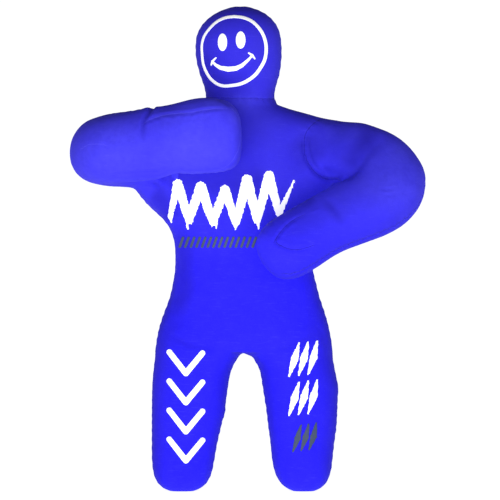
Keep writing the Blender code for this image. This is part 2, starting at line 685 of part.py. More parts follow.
chest_core = core("chest_stuffing", chest, fill, CHEST_ROWS, start=waist_high, end=neck_low, around=AROUND_TORSO,
                  inset=FABRIC + SLACK + 0.0010, origin=(MID_X, 0.0065, WAIST_Z))
chest_front = panel("chest_front_panel", chest, cover, CHEST_ROWS, -1, start=waist_high, end=neck_low,
                    around=AROUND_TORSO, origin=(MID_X, 0.0065, WAIST_Z))
chest_back_r = panel("chest_back_right_panel", chest, cover, CHEST_ROWS, 1, start=waist_high, end=neck_low,
                     around=10, origin=(MID_X, 0.0065, WAIST_Z), edges=back_edges(1))
chest_back_l = panel("chest_back_left_panel", chest, cover, CHEST_ROWS, 1, start=waist_high, end=neck_low,
                     around=10, origin=(MID_X, 0.0065, WAIST_Z), edges=back_edges(-1))
for piece in (chest_core, chest_front, chest_back_r):
    cut(piece, armhole_r)
for piece in (chest_core, chest_front, chest_back_l):
    cut(piece, armhole_l)

# ---------------------------------------------------------------- pelvis
PELVIS_ROWS = (0.0, 0.12, 0.28, 0.44, 0.60, 0.78, 1.0)
hips = Bend((MID_X, 0.0, HIP_Z), Z, (-1, 0, 0), 0, 0)
hips.plus, hips.minus = hip_r_in.plus, hip_r_in.minus


def ball(name, centre, radius, mat=fill):
    mesh = bpy.data.meshes.new(name)
    bm = bmesh.new()
    bmesh.ops.create_uvsphere(bm, u_segments=16, v_segments=12, radius=radius)
    bm.to_mesh(mesh)
    bm.free()
    mesh.shade_smooth()
    mesh.materials.append(mat)
    made = bpy.data.objects.new(name, mesh)
    made.location = (centre[0], centre[1] + Y_SHIFT, centre[2])
    made.parent = figure
    bpy.context.scene.collection.objects.link(made)
    return made


pelvis_core = core("pelvis_stuffing", pelvis, fill, PELVIS_ROWS, start=hips, end=waist_low, around=AROUND_TORSO)
hip_room = (HIP_BOSS + BOSS_ROOM) * 1.015
for name, centre in (("cutter_hip_right", HIP_R), ("cutter_hip_left", HIP_L)):
    cut(pelvis_core, as_cutter(ball(name, centre, hip_room)))
panel("pelvis_front_panel", pelvis, cover, PELVIS_ROWS, -1, start=hips, end=waist_low, around=AROUND_TORSO)
panel("pelvis_back_panel", pelvis, cover, PELVIS_ROWS, 1, start=hips, end=waist_low, around=AROUND_TORSO)

# ---------------------------------------------------------------- arms
for side_name, upper, fore, sh, el_in, el_out, sh_p, el_p in (
    ("right", upper_arm_r, forearm_r, shoulder_r_out, elbow_r_in, elbow_r_out, SHOULDER_R, elbow_r),
    ("left", upper_arm_l, forearm_l, shoulder_l_out, elbow_l_in, elbow_l_out, SHOULDER_L, elbow_l),
):
    core(f"{side_name}_upper_arm_stuffing", upper, fill, even(7), start=sh, end=el_in, origin=sh_p, middle=0.55)
    panel(f"{side_name}_upper_arm_outer_panel", upper, cover, even(7), 1, start=sh, end=el_in, origin=sh_p, middle=0.55)
    panel(f"{side_name}_upper_arm_inner_panel", upper, cover, even(7), -1, start=sh, end=el_in, origin=sh_p, middle=0.55)
    ball(f"{side_name}_elbow_stuffing", el_p, ELBOW_BOSS, fill)
    rows = (0.0, 0.10, 0.20, 0.32, 0.46, 0.60, 0.74, 0.86, 0.93, 0.97, 1.0)
    core(f"{side_name}_forearm_stuffing", fore, fill, rows, start=el_out, origin=el_p, blind=(0, 0.010))
    panel(f"{side_name}_forearm_outer_panel", fore, cover, rows, 1, start=el_out, origin=el_p)
    panel(f"{side_name}_forearm_inner_panel", fore, cover, rows, -1, start=el_out, origin=el_p)

# ---------------------------------------------------------------- legs
for side_name, thigh, shin, hip, kn_in, kn_out, hip_p, knee_p in (
    ("right", thigh_r, shin_r, hip_r_out, knee_r_in, knee_r_out, HIP_R, KNEE_R),
    ("left", thigh_l, shin_l, hip_l_out, knee_l_in, knee_l_out, HIP_L, KNEE_L),
):
    core(f"{side_name}_thigh_stuffing", thigh, fill, even(5), start=kn_in, end=hip, origin=hip_p, middle=0.45)
    panel(f"{side_name}_thigh_front_panel", thigh, cover, even(5), -1, start=kn_in, end=hip, origin=hip_p, middle=0.45)
    panel(f"{side_name}_thigh_back_panel", thigh, cover, even(5), 1, start=kn_in, end=hip, origin=hip_p, middle=0.45)
    rows = (0.0, 0.03, 0.09, 0.18, 0.34, 0.56, 0.78, 1.0)
    core(f"{side_name}_lower_leg_stuffing", shin, fill, rows, end=kn_out, origin=knee_p, blind=(0.006, 0), middle=0.4)
    panel(f"{side_name}_lower_leg_front_panel", shin, cover, rows, -1, end=kn_out, origin=knee_p, middle=0.4)
    panel(f"{side_name}_lower_leg_back_panel", shin, cover, rows, 1, end=kn_out, origin=knee_p, middle=0.4)

# ---------------------------------------------------------------- raised prints
PRINT_THICK = 0.0006


def front_y(limb, x, z):
    """Where an upright limb's front face lies at (x, z)."""
    heights = limb.c[:, 2]
    t = np.interp(z, heights, limb.t)
    for _ in range(30):
        got = limb.read(limb.c, t)[2]
        t += (z - got) / (heights[-1] - heights[0])
    c, a, b, n = limb.read(limb.c, t), limb.read(limb.a, t), limb.read(limb.b, t), limb.read(limb.n, t)
    across = min(abs((x - c[0]) / a), 0.97)
    return c[1] - b * (1 - across**n) ** (1 / n)


def band(name, limb, line, width, mat, closed=False, spacing=0.013, origin=(0, 0, 0), lift=0.0011, pointed=False):
    """A printed stroke along a polyline of (x, z), laid on a limb's front, of even width or narrowing to its ends."""
    corners = [np.array(p, float) for p in line]
    if closed:
        corners.append(corners[0])
    dense = []
    for a, b in zip(corners, corners[1:]):
        steps = max(1, int(np.linalg.norm(b - a) / spacing))
        dense += [a + (b - a) * k / steps for k in range(steps)]
    if not closed:
        dense.append(corners[-1])
    count = len(dense)
    left, right = [], []
    for i, p in enumerate(dense):
        before = dense[i - 1] if i or closed else dense[0]
        after = dense[(i + 1) % count] if i + 1 < count or closed else dense[-1]
        d1, d2 = p - before, after - p
        d1 = d1 / np.linalg.norm(d1) if np.linalg.norm(d1) > 1e-9 else None
        d2 = d2 / np.linalg.norm(d2) if np.linalg.norm(d2) > 1e-9 else None
        d1, d2 = (d2 if d1 is None else d1), (d1 if d2 is None else d2)
        n1, n2 = np.array([-d1[1], d1[0]]), np.array([-d2[1], d2[0]])
        mean = n1 + n2
        mean /= np.linalg.norm(mean)
        reach = width / 2 / max(float(mean @ n1), 0.5)
        if pointed:
            reach *= 0.25 + 0.75 * math.sin(math.pi * i / (count - 1))
        left.append(p + reach * mean)
        right.append(p - reach * mean)
    pts = []
    for away_by in (lift, lift + PRINT_THICK):
        for row in (left, (np.array(left) + np.array(right)) / 2, right):
            for p in row:
                pts.append((p[0], front_y(limb, p[0], p[1]) - away_by, p[1]))

    def at(layer, row, i):
        return (layer * 3 + row) * count + i % count

    faces = []
    for i in range(count if closed else count - 1):
        for row in (0, 1):
            faces.append((at(0, row, i), at(0, row, i + 1), at(0, row + 1, i + 1), at(0, row + 1, i)))
            faces.append((at(1, row, i), at(1, row + 1, i), at(1, row + 1, i + 1), at(1, row, i + 1)))
        for row in (0, 2):
            faces.append((at(0, row, i), at(1, row, i), at(1, row, i + 1), at(0, row, i + 1)))
    if not closed:
        for i in (0, count - 1):
            for row in (0, 1):
                faces.append((at(0, row, i), at(0, row + 1, i), at(1, row + 1, i), at(1, row, i)))
    return solid(name, pts, faces, mat, origin)


def oval(cx, cz, rx, rz, count, lean=0.0, start=0.0, stop=2 * math.pi):
    ends = stop - start < 2 * math.pi - 1e-6
    turns = [start + (stop - start) * k / (count - (1 if ends else 0)) for k in range(count)]
    c, s = math.cos(lean), math.sin(lean)
    return [(cx + rx * math.cos(a) * c - rz * math.sin(a) * s, cz + rx * math.cos(a) * s + rz * math.sin(a) * c)
            for a in turns]


def chevron(x, z, half=0.0390, rise=0.0500):
    return [(x - half, z + rise), (x, z), (x + half, z + rise)]


FACE_X, FACE_Z = -0.0300, 1.1080
neck_o = (NECK_X, 0.002, NECK_Z)
band("face_ring_print", head, oval(FACE_X, FACE_Z, 0.0830, 0.0880, 30), 0.0085, print_white, closed=True, spacing=0.05,
     origin=neck_o, lift=0.0022)
band("face_smile_print", head, oval(FACE_X, FACE_Z - 0.004, 0.050, 0.050, 17, start=math.radians(205),
     stop=math.radians(335)), 0.0085, print_white, spacing=0.05, origin=neck_o)
band("face_right_eye_print", head, [(FACE_X - 0.027, FACE_Z + 0.004), (FACE_X - 0.027, FACE_Z + 0.038)], 0.019,
     print_white, origin=neck_o)
band("face_left_eye_print", head, [(FACE_X + 0.017, FACE_Z + 0.004), (FACE_X + 0.017, FACE_Z + 0.038)], 0.019,
     print_white, origin=neck_o)

waist_o = (MID_X, 0.0065, WAIST_Z)
band("chest_zigzag_print", chest, [(-0.150, 0.705), (-0.112, 0.765), (-0.078, 0.690), (-0.036, 0.772), (0.004, 0.680),
     (0.046, 0.770), (0.086, 0.700)], 0.017, print_white, origin=waist_o, spacing=0.022, lift=0.0034)
band("chest_stripe_print", chest, [(-0.160, 0.632), (-0.010, 0.632)], 0.009, print_grey, origin=waist_o, spacing=0.025, lift=0.0040)
band("right_thigh_print", thigh_r, chevron(-0.156, 0.220), 0.0140, print_white, origin=HIP_R, spacing=0.014, lift=0.0020)
band("right_lower_leg_print", shin_r, chevron(-0.156, 0.080), 0.0140, print_white, origin=KNEE_R, spacing=0.014, lift=0.0022)
band("left_thigh_print", thigh_l, [(0.122, 0.198), (0.152, 0.280)], 0.0210, print_white, origin=HIP_L, spacing=0.013,
     lift=0.0018, pointed=True)
band("left_lower_leg_print", shin_l, [(0.131, 0.100), (0.151, 0.152)], 0.0180, print_grey, origin=KNEE_L, spacing=0.011,
     lift=0.0018, pointed=True)


# ---------------------------------------------------------------- back zip
def box(name, low, high, mat, origin=(0, 0, 0), bevel=0.0):
    (x0, y0, z0), (x1, y1, z1) = low, high
    pts = [(x, y, z) for z in (z0, z1) for y in (y0, y1) for x in (x0, x1)]
    faces = [(0, 2, 3, 1), (4, 5, 7, 6), (0, 1, 5, 4), (2, 6, 7, 3), (0, 4, 6, 2), (1, 3, 7, 5)]
    made = solid(name, pts, faces, mat, origin)
    if bevel:
        m = made.modifiers.new("bevel", "BEVEL")
        m.width, m.segments, m.limit_method = bevel, 1, "ANGLE"
    return made


surface = BACK_Y + SEAM_GAP / 2
TAPE_OUT, TAPE_IN = 0.0150, 0.0032
for side_name, way in (("right", -1), ("left", 1)):
    x = sorted((MID_X + way * TAPE_IN, MID_X + way * TAPE_OUT))
    box(f"zip_{side_name}_tape", (x[0], surface + 0.0004, ZIP_BOTTOM), (x[1], surface + 0.0014, ZIP_TOP), tape)


def tooth_row(name, way, pitch=0.0150):
    """A row of coil teeth: a strip whose inner edge steps in and out, out of step with the row opposite."""
    root, tip = 0.0028, 0.0004
    z0, z1 = ZIP_BOTTOM + 0.004, ZIP_TOP - 0.004
    steps = int((z1 - z0) / pitch)
    outline = [(root, z0)]
    for k in range(steps):
        base = z0 + k * pitch
        outline += [(tip + 0.0010, base), (tip, base + pitch * 0.15), (tip, base + pitch * 0.55),
                    (tip + 0.0010, base + pitch * 0.70)]
    outline += [(tip + 0.0010, z0 + steps * pitch), (root, z0 + steps * pitch)]
    near, far = surface - 0.0012, surface + 0.0016
    count = len(outline)
    pts = [(MID_X + way * x, y, z) for y in (near, far) for x, z in outline]
    faces = [tuple(range(count)), tuple(range(2 * count - 1, count - 1, -1))]
    faces += [(i, (i + 1) % count, count + (i + 1) % count, count + i) for i in range(count)]
    return solid(name, pts, faces, teeth)


tooth_row("zip_right_teeth", -1)
tooth_row("zip_left_teeth", 1)
SLIDER_Z = ZIP_TOP - 0.013
SLIDER_Y = surface + 0.0020
box("zip_slider", (MID_X - 0.0055, SLIDER_Y, SLIDER_Z - 0.007), (MID_X + 0.0055, SLIDER_Y + 0.0032, SLIDER_Z + 0.007),
    metal, origin=(MID_X, SLIDER_Y, SLIDER_Z), bevel=0.0008)
PULL_Y = SLIDER_Y + 0.0032 + 0.0022
box("zip_slider_bridge", (MID_X - 0.0012, SLIDER_Y + 0.0035, SLIDER_Z - 0.0038),
    (MID_X + 0.0012, SLIDER_Y + 0.0060, SLIDER_Z + 0.0055), metal, origin=(MID_X, SLIDER_Y, SLIDER_Z), bevel=0.0005)
pull = box("zip_pull_tab", (MID_X - 0.0042, PULL_Y - 0.0009, SLIDER_Z - 0.0320),
           (MID_X + 0.0042, PULL_Y + 0.0009, SLIDER_Z - 0.0056), metal,
           origin=(MID_X, PULL_Y, SLIDER_Z - 0.0052), bevel=0.0006)
box("zip_top_stop", (MID_X - 0.0030, surface + 0.0004, ZIP_TOP - 0.0030), (MID_X + 0.0030, surface + 0.0030, ZIP_TOP),
    metal, bevel=0.0005)
box("zip_bottom_stop", (MID_X - 0.0030, surface + 0.0004, ZIP_BOTTOM), (MID_X + 0.0030, surface + 0.0030, ZIP_BOTTOM + 0.003),
    metal, bevel=0.0005)

bpy.context.view_layer.update()
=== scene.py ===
"""Looks of the grappling dummy: one continuous stuffed skin over the jointed CAD frame, its seams, prints and zip.

Everything is in metres, +Z up, the figure faces -Y. The skin is a union of lofted limbs, remeshed, puffed up by a
cloth simulation that is held at the seams, then parted at the joints into pieces.
"""

import math

import bmesh
import bpy
import numpy as np
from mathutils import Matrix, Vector
from mathutils.bvhtree import BVHTree
from mathutils.kdtree import KDTree


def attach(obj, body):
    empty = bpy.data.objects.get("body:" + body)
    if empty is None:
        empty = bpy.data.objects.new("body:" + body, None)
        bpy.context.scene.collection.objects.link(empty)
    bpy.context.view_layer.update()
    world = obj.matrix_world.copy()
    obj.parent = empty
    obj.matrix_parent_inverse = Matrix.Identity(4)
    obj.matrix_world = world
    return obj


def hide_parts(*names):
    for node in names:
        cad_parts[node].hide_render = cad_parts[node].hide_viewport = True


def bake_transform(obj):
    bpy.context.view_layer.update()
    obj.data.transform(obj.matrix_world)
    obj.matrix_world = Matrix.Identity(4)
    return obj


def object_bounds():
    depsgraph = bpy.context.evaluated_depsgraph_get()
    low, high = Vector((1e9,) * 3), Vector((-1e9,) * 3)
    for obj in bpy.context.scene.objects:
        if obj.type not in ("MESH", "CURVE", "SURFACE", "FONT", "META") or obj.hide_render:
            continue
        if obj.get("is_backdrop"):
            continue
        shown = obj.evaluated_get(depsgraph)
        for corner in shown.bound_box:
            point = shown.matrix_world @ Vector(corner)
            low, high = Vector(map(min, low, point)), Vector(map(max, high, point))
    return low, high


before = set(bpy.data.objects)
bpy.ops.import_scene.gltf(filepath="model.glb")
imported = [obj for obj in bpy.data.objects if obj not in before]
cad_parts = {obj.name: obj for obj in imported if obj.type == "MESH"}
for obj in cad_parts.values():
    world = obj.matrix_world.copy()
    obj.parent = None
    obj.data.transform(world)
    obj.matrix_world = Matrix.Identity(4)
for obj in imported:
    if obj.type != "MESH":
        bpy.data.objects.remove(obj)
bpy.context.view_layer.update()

Y_SHIFT = 0.0771
MID_X = -0.0075
BACK_Y = 0.106
X, Y, Z = (1, 0, 0), (0, 1, 0), (0, 0, 1)
PX = 0.0025155


def at_px(px, py):
    """(x, z) in metres of a spot of the front view laid out on a 500 by 500 grid."""
    return ((px - 247.0) * PX, (491.5 - py) * PX)


# ================================================================ limb shapes
def unit(v):
    v = np.asarray(v, float)
    return v / np.linalg.norm(v)


def smooth(keys, values, at):
    k, v = np.asarray(keys, float), np.asarray(values, float)
    step = np.diff(k)
    slope = np.diff(v) / step
    m = np.empty(len(k))
    m[0], m[-1] = slope[0], slope[-1]
    for i in range(1, len(k) - 1):
        if slope[i - 1] * slope[i] <= 0:
            m[i] = 0.0
        else:
            w1, w2 = 2 * step[i] + step[i - 1], step[i] + 2 * step[i - 1]
            m[i] = (w1 + w2) / (w1 / slope[i - 1] + w2 / slope[i])
    at = np.clip(np.asarray(at, float), k[0], k[-1])
    i = np.clip(np.searchsorted(k, at) - 1, 0, len(k) - 2)
    h = step[i]
    s = (at - k[i]) / h
    return (
        (1 + 2 * s) * (1 - s) ** 2 * v[i]
        + s * (1 - s) ** 2 * h * m[i]
        + s * s * (3 - 2 * s) * v[i + 1]
        + s * s * (s - 1) * h * m[i + 1]
    )


class Limb:
    """Sections strung along a path: (centre, width axis, depth axis, half width, half depth, squareness)."""

    def __init__(self, sections):
        self.c = np.array([s[0] for s in sections], float) + np.array([0, Y_SHIFT, 0])
        self.u = np.array([unit(s[1]) for s in sections])
        self.v = np.array([unit(s[2]) for s in sections])
        self.a = np.array([s[3] for s in sections], float)
        self.b = np.array([s[4] for s in sections], float)
        self.n = np.array([s[5] for s in sections], float)
        gaps = np.linalg.norm(np.diff(self.c, axis=0), axis=1)
        self.t = np.concatenate([[0], np.cumsum(gaps)]) / gaps.sum()
        self.length = gaps.sum()

    def read(self, table, t):
        if table.ndim == 1:
            return smooth(self.t, table, t)
        return np.stack([smooth(self.t, table[:, k], t) for k in range(3)], axis=-1)

    def points(self, t, phi, inset=0.0, share=1.0):
        t, phi = np.broadcast_arrays(np.asarray(t, float), np.asarray(phi, float))
        c, u, v = self.read(self.c, t), self.read(self.u, t), self.read(self.v, t)
        u = u / np.linalg.norm(u, axis=-1, keepdims=True)
        v = v / np.linalg.norm(v, axis=-1, keepdims=True)
        a, b, n = self.read(self.a, t), self.read(self.b, t), self.read(self.n, t)
        ca, sa = np.cos(phi), np.sin(phi)
        r = (np.abs(ca) ** n + np.abs(sa) ** n) ** (-1 / n) * share
        x = np.maximum(a - inset, 0.002) * ca * r
        y = np.maximum(b - inset, 0.002) * sa * r
        return c + x[..., None] * u + y[..., None] * v


def upright(table):
    return Limb([((x, y, z), X, Y, a, b, n) for z, x, y, a, b, n in sorted(table)])


def back_line(z, x, a, b, n):
    return (z, x, BACK_Y - b, a, b, n)


NECK_X = -0.0190
LIMBS = {}
LIMBS["head"] = upright([
    (0.940, -0.0185, 0.002, 0.0860, 0.0735, 2.1), (0.985, -0.0188, 0.002, 0.0865, 0.0735, 2.1),
    (1.015, -0.0190, 0.000, 0.0893, 0.0770, 2.1), (1.045, -0.0200, -0.002, 0.0980, 0.0860, 2.1),
    (1.075, -0.0215, -0.003, 0.1044, 0.0930, 2.1), (1.106, -0.0226, -0.003, 0.1080, 0.0970, 2.1),
    (1.136, -0.0226, -0.002, 0.1080, 0.0970, 2.1), (1.166, -0.0210, 0.000, 0.1006, 0.0900, 2.1),
    (1.184, -0.0195, 0.001, 0.0885, 0.0800, 2.1), (1.200, -0.0180, 0.001, 0.0700, 0.0640, 2.1),
    (1.212, -0.0175, 0.001, 0.0465, 0.0430, 2.1), (1.220, -0.0175, 0.001, 0.0200, 0.0180, 2.1),
])
LIMBS["chest"] = upright([
    back_line(0.545, MID_X, 0.176, 0.1000, 2.4), back_line(0.585, MID_X, 0.174, 0.0995, 2.4),
    back_line(0.625, MID_X, 0.176, 0.1005, 2.4), back_line(0.655, MID_X, 0.184, 0.1015, 2.5),
    back_line(0.690, MID_X - 0.010, 0.196, 0.1020, 2.3), back_line(0.720, MID_X - 0.020, 0.218, 0.1020, 2.3),
    back_line(0.755, MID_X - 0.022, 0.248, 0.1020, 2.5), back_line(0.800, MID_X - 0.010, 0.284, 0.1020, 2.9),
    back_line(0.860, MID_X, 0.296, 0.1020, 3.0), back_line(0.900, MID_X, 0.290, 0.0990, 3.0),
    (0.925, MID_X - 0.002, 0.004, 0.262, 0.0930, 2.8), (0.945, MID_X - 0.005, 0.003, 0.205, 0.0850, 2.5),
    (0.960, MID_X - 0.008, 0.002, 0.150, 0.0780, 2.3), (0.972, MID_X - 0.010, 0.002, 0.110, 0.0745, 2.2),
    (0.985, NECK_X, 0.002, 0.0865, 0.0735, 2.1), (1.030, NECK_X, 0.002, 0.0860, 0.0735, 2.1),
])
LIMBS["pelvis"] = upright([
    (0.352, MID_X, 0.004, 0.2235, 0.0960, 2.5), (0.366, MID_X, 0.005, 0.2226, 0.0980, 2.5),
    (0.396, MID_X, 0.007, 0.2176, 0.1030, 2.5), (0.426, MID_X, 0.009, 0.2100, 0.1050, 2.5),
    (0.457, MID_X, 0.010, 0.2000, 0.1050, 2.4), (0.487, MID_X, 0.009, 0.1890, 0.1030, 2.4),
    (0.517, MID_X, 0.008, 0.1825, 0.1010, 2.4), (0.547, MID_X, 0.0065, 0.1765, 0.0998, 2.4),
    (0.585, MID_X, 0.0065, 0.1740, 0.0995, 2.4), (0.625, MID_X, 0.0065, 0.1750, 0.0995, 2.4),
])
LIMBS["leg_r"] = upright([
    (0.410, -0.1215, 0.004, 0.0930, 0.0900, 2.2), (0.380, -0.1225, 0.003, 0.1020, 0.0930, 2.2), (0.352, -0.1225, 0.003, 0.1075, 0.0945, 2.2),
    (0.321, -0.1330, 0.000, 0.1005, 0.0905, 2.2), (0.290, -0.1410, -0.003, 0.0960, 0.0885, 2.2),
    (0.260, -0.1446, -0.005, 0.0943, 0.0870, 2.2), (0.215, -0.1484, -0.008, 0.0906, 0.0850, 2.2),
    (0.172, -0.1520, -0.010, 0.0870, 0.0830, 2.2), (0.125, -0.1570, -0.013, 0.0818, 0.0790, 2.2),
    (0.079, -0.1610, -0.017, 0.0780, 0.0760, 2.2), (0.049, -0.1625, -0.019, 0.0740, 0.0740, 2.3),
    (0.030, -0.1635, -0.020, 0.0675, 0.0700, 2.3), (0.014, -0.1640, -0.021, 0.0560, 0.0620, 2.3),
    (0.004, -0.1640, -0.022, 0.0400, 0.0480, 2.3), (0.000, -0.1640, -0.022, 0.0280, 0.0360, 2.3),
])
LIMBS["leg_l"] = upright([
    (0.410, 0.1065, 0.004, 0.0910, 0.0900, 2.2), (0.380, 0.1075, 0.003, 0.1000, 0.0930, 2.2), (0.352, 0.1075, 0.003, 0.1060, 0.0945, 2.2),
    (0.321, 0.1190, 0.000, 0.0975, 0.0905, 2.2), (0.290, 0.1270, -0.003, 0.0940, 0.0885, 2.2),
    (0.260, 0.1308, -0.005, 0.0931, 0.0870, 2.2), (0.215, 0.1346, -0.008, 0.0893, 0.0850, 2.2),
    (0.172, 0.1371, -0.010, 0.0865, 0.0830, 2.2), (0.125, 0.1384, -0.013, 0.0805, 0.0790, 2.2),
    (0.079, 0.1390, -0.017, 0.0757, 0.0760, 2.2), (0.049, 0.1405, -0.019, 0.0710, 0.0740, 2.3),
    (0.030, 0.1415, -0.020, 0.0635, 0.0700, 2.3), (0.014, 0.1425, -0.021, 0.0520, 0.0620, 2.3),
    (0.004, 0.1430, -0.022, 0.0360, 0.0480, 2.3), (0.000, 0.1430, -0.022, 0.0250, 0.0360, 2.3),
])


def fan(crease, out, down, upright_axis, turns):
    made = []
    crease, out, down = np.array(crease), unit(out), unit(down)
    for turn, far, a, b in turns:
        way = math.cos(math.radians(turn)) * out + math.sin(math.radians(turn)) * down
        made.append((crease + far * way, upright_axis, way, a, b, 2.2))
    return made


CREASE_R = (-0.2705, -0.102, 0.8585)
CREASE_L = (0.2440, -0.0900, 0.7820)
LIMBS["arm_r"] = Limb(
    [
        ((-0.150, 0.000, 0.862), Z, Y, 0.098, 0.086, 2.3), ((-0.190, 0.000, 0.860), Z, Y, 0.099, 0.086, 2.3),
        ((-0.228, -0.002, 0.857), Z, Y, 0.102, 0.086, 2.3), ((-0.252, -0.005, 0.857), Z, Y, 0.100, 0.086, 2.2),
    ]
    + fan(CREASE_R, (-1, 0, 0), (0, -1, 0), Z, [
        (-86, 0.094, 0.0965, 0.0860), (-66, 0.092, 0.0940, 0.0855), (-44, 0.091, 0.0915, 0.0850),
        (-22, 0.090, 0.0885, 0.0850), (0, 0.090, 0.0860, 0.0850), (22, 0.090, 0.0845, 0.0840),
        (44, 0.090, 0.0830, 0.0830), (66, 0.089, 0.0820, 0.0820), (86, 0.088, 0.0810, 0.0805)])
    + [
        ((-0.235, -0.190, 0.863), Z, (0, -1, 0), 0.0800, 0.0795, 2.2),
        ((-0.180, -0.191, 0.870), Z, (0, -1, 0), 0.0790, 0.0790, 2.3),
        ((-0.118, -0.192, 0.877), Z, (0, -1, 0), 0.0785, 0.0780, 2.4),
        ((-0.072, -0.192, 0.879), Z, (0, -1, 0), 0.0775, 0.0755, 2.6),
        ((-0.046, -0.192, 0.880), Z, (0, -1, 0), 0.0740, 0.0700, 2.7),
        ((-0.030, -0.192, 0.880), Z, (0, -1, 0), 0.0665, 0.0610, 2.7),
        ((-0.020, -0.192, 0.880), Z, (0, -1, 0), 0.0540, 0.0480, 2.6),
        ((-0.0155, -0.192, 0.880), Z, (0, -1, 0), 0.0360, 0.0320, 2.4),
    ]
)
ul, fl = unit((0.940, -0.200, -0.280)), unit((-0.830, -0.300, -0.480))
out_l, down_l = unit(ul - fl), unit(ul + fl)
hinge_l = unit(np.cross(ul, fl))
half_turn = math.degrees(math.acos(float(np.dot(ul, fl)))) / 2


def away(direction):
    way = unit(np.cross(hinge_l, direction))
    return way if np.dot(way, out_l) > 0 else -way


upper_way, fore_way = away(ul), away(fl)
u_start = np.array(CREASE_L) + 0.0870 * upper_way
f_start = np.array(CREASE_L) + 0.0840 * fore_way
HAND_L = np.array((0.0430, -0.2000, 0.5800))
fore_len = np.linalg.norm(HAND_L - f_start)
run = unit(HAND_L - f_start)
hand_way = unit(fore_way - np.dot(fore_way, run) * run)


def along(d):
    return f_start + d * run


LIMBS["arm_l"] = Limb(
    [
        ((0.140, 0.004, 0.866), hinge_l, upper_way, 0.0850, 0.0860, 2.3),
        ((0.180, 0.002, 0.862), hinge_l, upper_way, 0.0850, 0.0865, 2.3),
        ((0.215, -0.006, 0.858), hinge_l, upper_way, 0.0850, 0.0860, 2.2),
        (u_start - 0.012 * ul, hinge_l, upper_way, 0.0850, 0.0855, 2.2),
    ]
    + fan(CREASE_L, out_l, down_l, hinge_l, [
        (-half_turn * 0.80, 0.0890, 0.0845, 0.0865), (-half_turn * 0.55, 0.0960, 0.0840, 0.0920),
        (-half_turn * 0.28, 0.1030, 0.0840, 0.0985), (0, 0.1060, 0.0835, 0.1015),
        (half_turn * 0.28, 0.1020, 0.0830, 0.0975), (half_turn * 0.55, 0.0940, 0.0820, 0.0900),
        (half_turn * 0.80, 0.0870, 0.0800, 0.0840)])
    + [
        (along(0.012), hinge_l, hand_way, 0.0790, 0.0815, 2.2), (along(0.060), hinge_l, hand_way, 0.0780, 0.0795, 2.2),
        (along(fore_len - 0.130), hinge_l, hand_way, 0.0775, 0.0785, 2.3),
        (along(fore_len - 0.070), hinge_l, hand_way, 0.0750, 0.0780, 2.4),
        (along(fore_len - 0.038), hinge_l, hand_way, 0.0680, 0.0720, 2.4),
        (along(fore_len - 0.018), hinge_l, hand_way, 0.0560, 0.0610, 2.4),
        (along(fore_len - 0.006), hinge_l, hand_way, 0.0400, 0.0450, 2.3),
        (HAND_L, hinge_l, hand_way, 0.0230, 0.0260, 2.2),
    ]
)

# ================================================================ the skin: union, remesh, cloth
INSET = 0.0030
SCENE = bpy.context.scene


def new_object(name, mesh):
    made = bpy.data.objects.new(name, mesh)
    SCENE.collection.objects.link(made)
    return made


def only(obj):
    for o in bpy.context.selected_objects:
        o.select_set(False)
    obj.select_set(True)
    bpy.context.view_layer.objects.active = obj


def baked(obj):
    """A new mesh of the object with its modifiers applied."""
    graph = bpy.context.evaluated_depsgraph_get()
    graph.update()
    return bpy.data.meshes.new_from_object(obj.evaluated_get(graph))


samples, sample_limb, sample_t = [], [], []
bm = bmesh.new()
for name, limb in LIMBS.items():
    rows, around = max(24, int(limb.length / 0.009)), 56
    ts = np.linspace(0, 1, rows)
    phis = np.arange(around) * 2 * math.pi / around
    grid = limb.points(ts[:, None], phis[None, :], inset=INSET)
    verts = [[bm.verts.new(p) for p in row] for row in grid]
    for j in range(rows - 1):
        for i in range(around):
            k = (i + 1) % around
            bm.faces.new((verts[j][i], verts[j][k], verts[j + 1][k], verts[j + 1][i]))
    for j, t in ((0, 0.0), (rows - 1, 1.0)):
        inner = limb.points(np.full(around, t), phis, inset=INSET, share=0.5)
        ring = [bm.verts.new(p) for p in inner]
        centre = bm.verts.new(limb.points(t, 0.0, share=0.0))
        for i in range(around):
            k = (i + 1) % around
            bm.faces.new((verts[j][i], verts[j][k], ring[k], ring[i]))
            bm.faces.new((ring[i], ring[k], centre))
    sparse = grid[:, ::2].reshape(-1, 3)
    samples.append(sparse)
    sample_limb += [name] * len(sparse)
    sample_t.append(np.repeat(ts, grid[:, ::2].shape[1]))
    if name.startswith("arm") or name.startswith("leg") or name == "head":
        tips = limb.points(np.full(8, 1.0 if not name.startswith("leg") else 0.0), phis[::7], inset=INSET, share=0.3)
        samples.append(tips)
        sample_limb += [name] * len(tips)
        sample_t.append(np.full(len(tips), 1.0 if not name.startswith("leg") else 0.0))
bmesh.ops.recalc_face_normals(bm, faces=bm.faces)
union_mesh = bpy.data.meshes.new("skin")
bm.to_mesh(union_mesh)
bm.free()
samples = np.concatenate(samples)
sample_t = np.concatenate(sample_t)
sample_limb = np.array(sample_limb)
skin = new_object("skin", union_mesh)
remesh = skin.modifiers.new("remesh", "REMESH")
remesh.mode, remesh.voxel_size, remesh.adaptivity = "VOXEL", 0.0095, 0.0
soften = skin.modifiers.new("soften", "SMOOTH")
soften.factor, soften.iterations = 0.5, 5
mesh = baked(skin)
bpy.data.objects.remove(skin, do_unlink=True)
skin = new_object("skin", mesh)


def coords(mesh):
    got = np.empty(len(mesh.vertices) * 3)
    mesh.vertices.foreach_get("co", got)
    return got.reshape(-1, 3)


def set_coords(mesh, points):
    mesh.vertices.foreach_set("co", np.ascontiguousarray(points, dtype=np.float32).ravel())
    mesh.update()


def normals(mesh):
    got = np.empty(len(mesh.vertices) * 3)
    mesh.vertices.foreach_get("normal", got)
    return got.reshape(-1, 3)
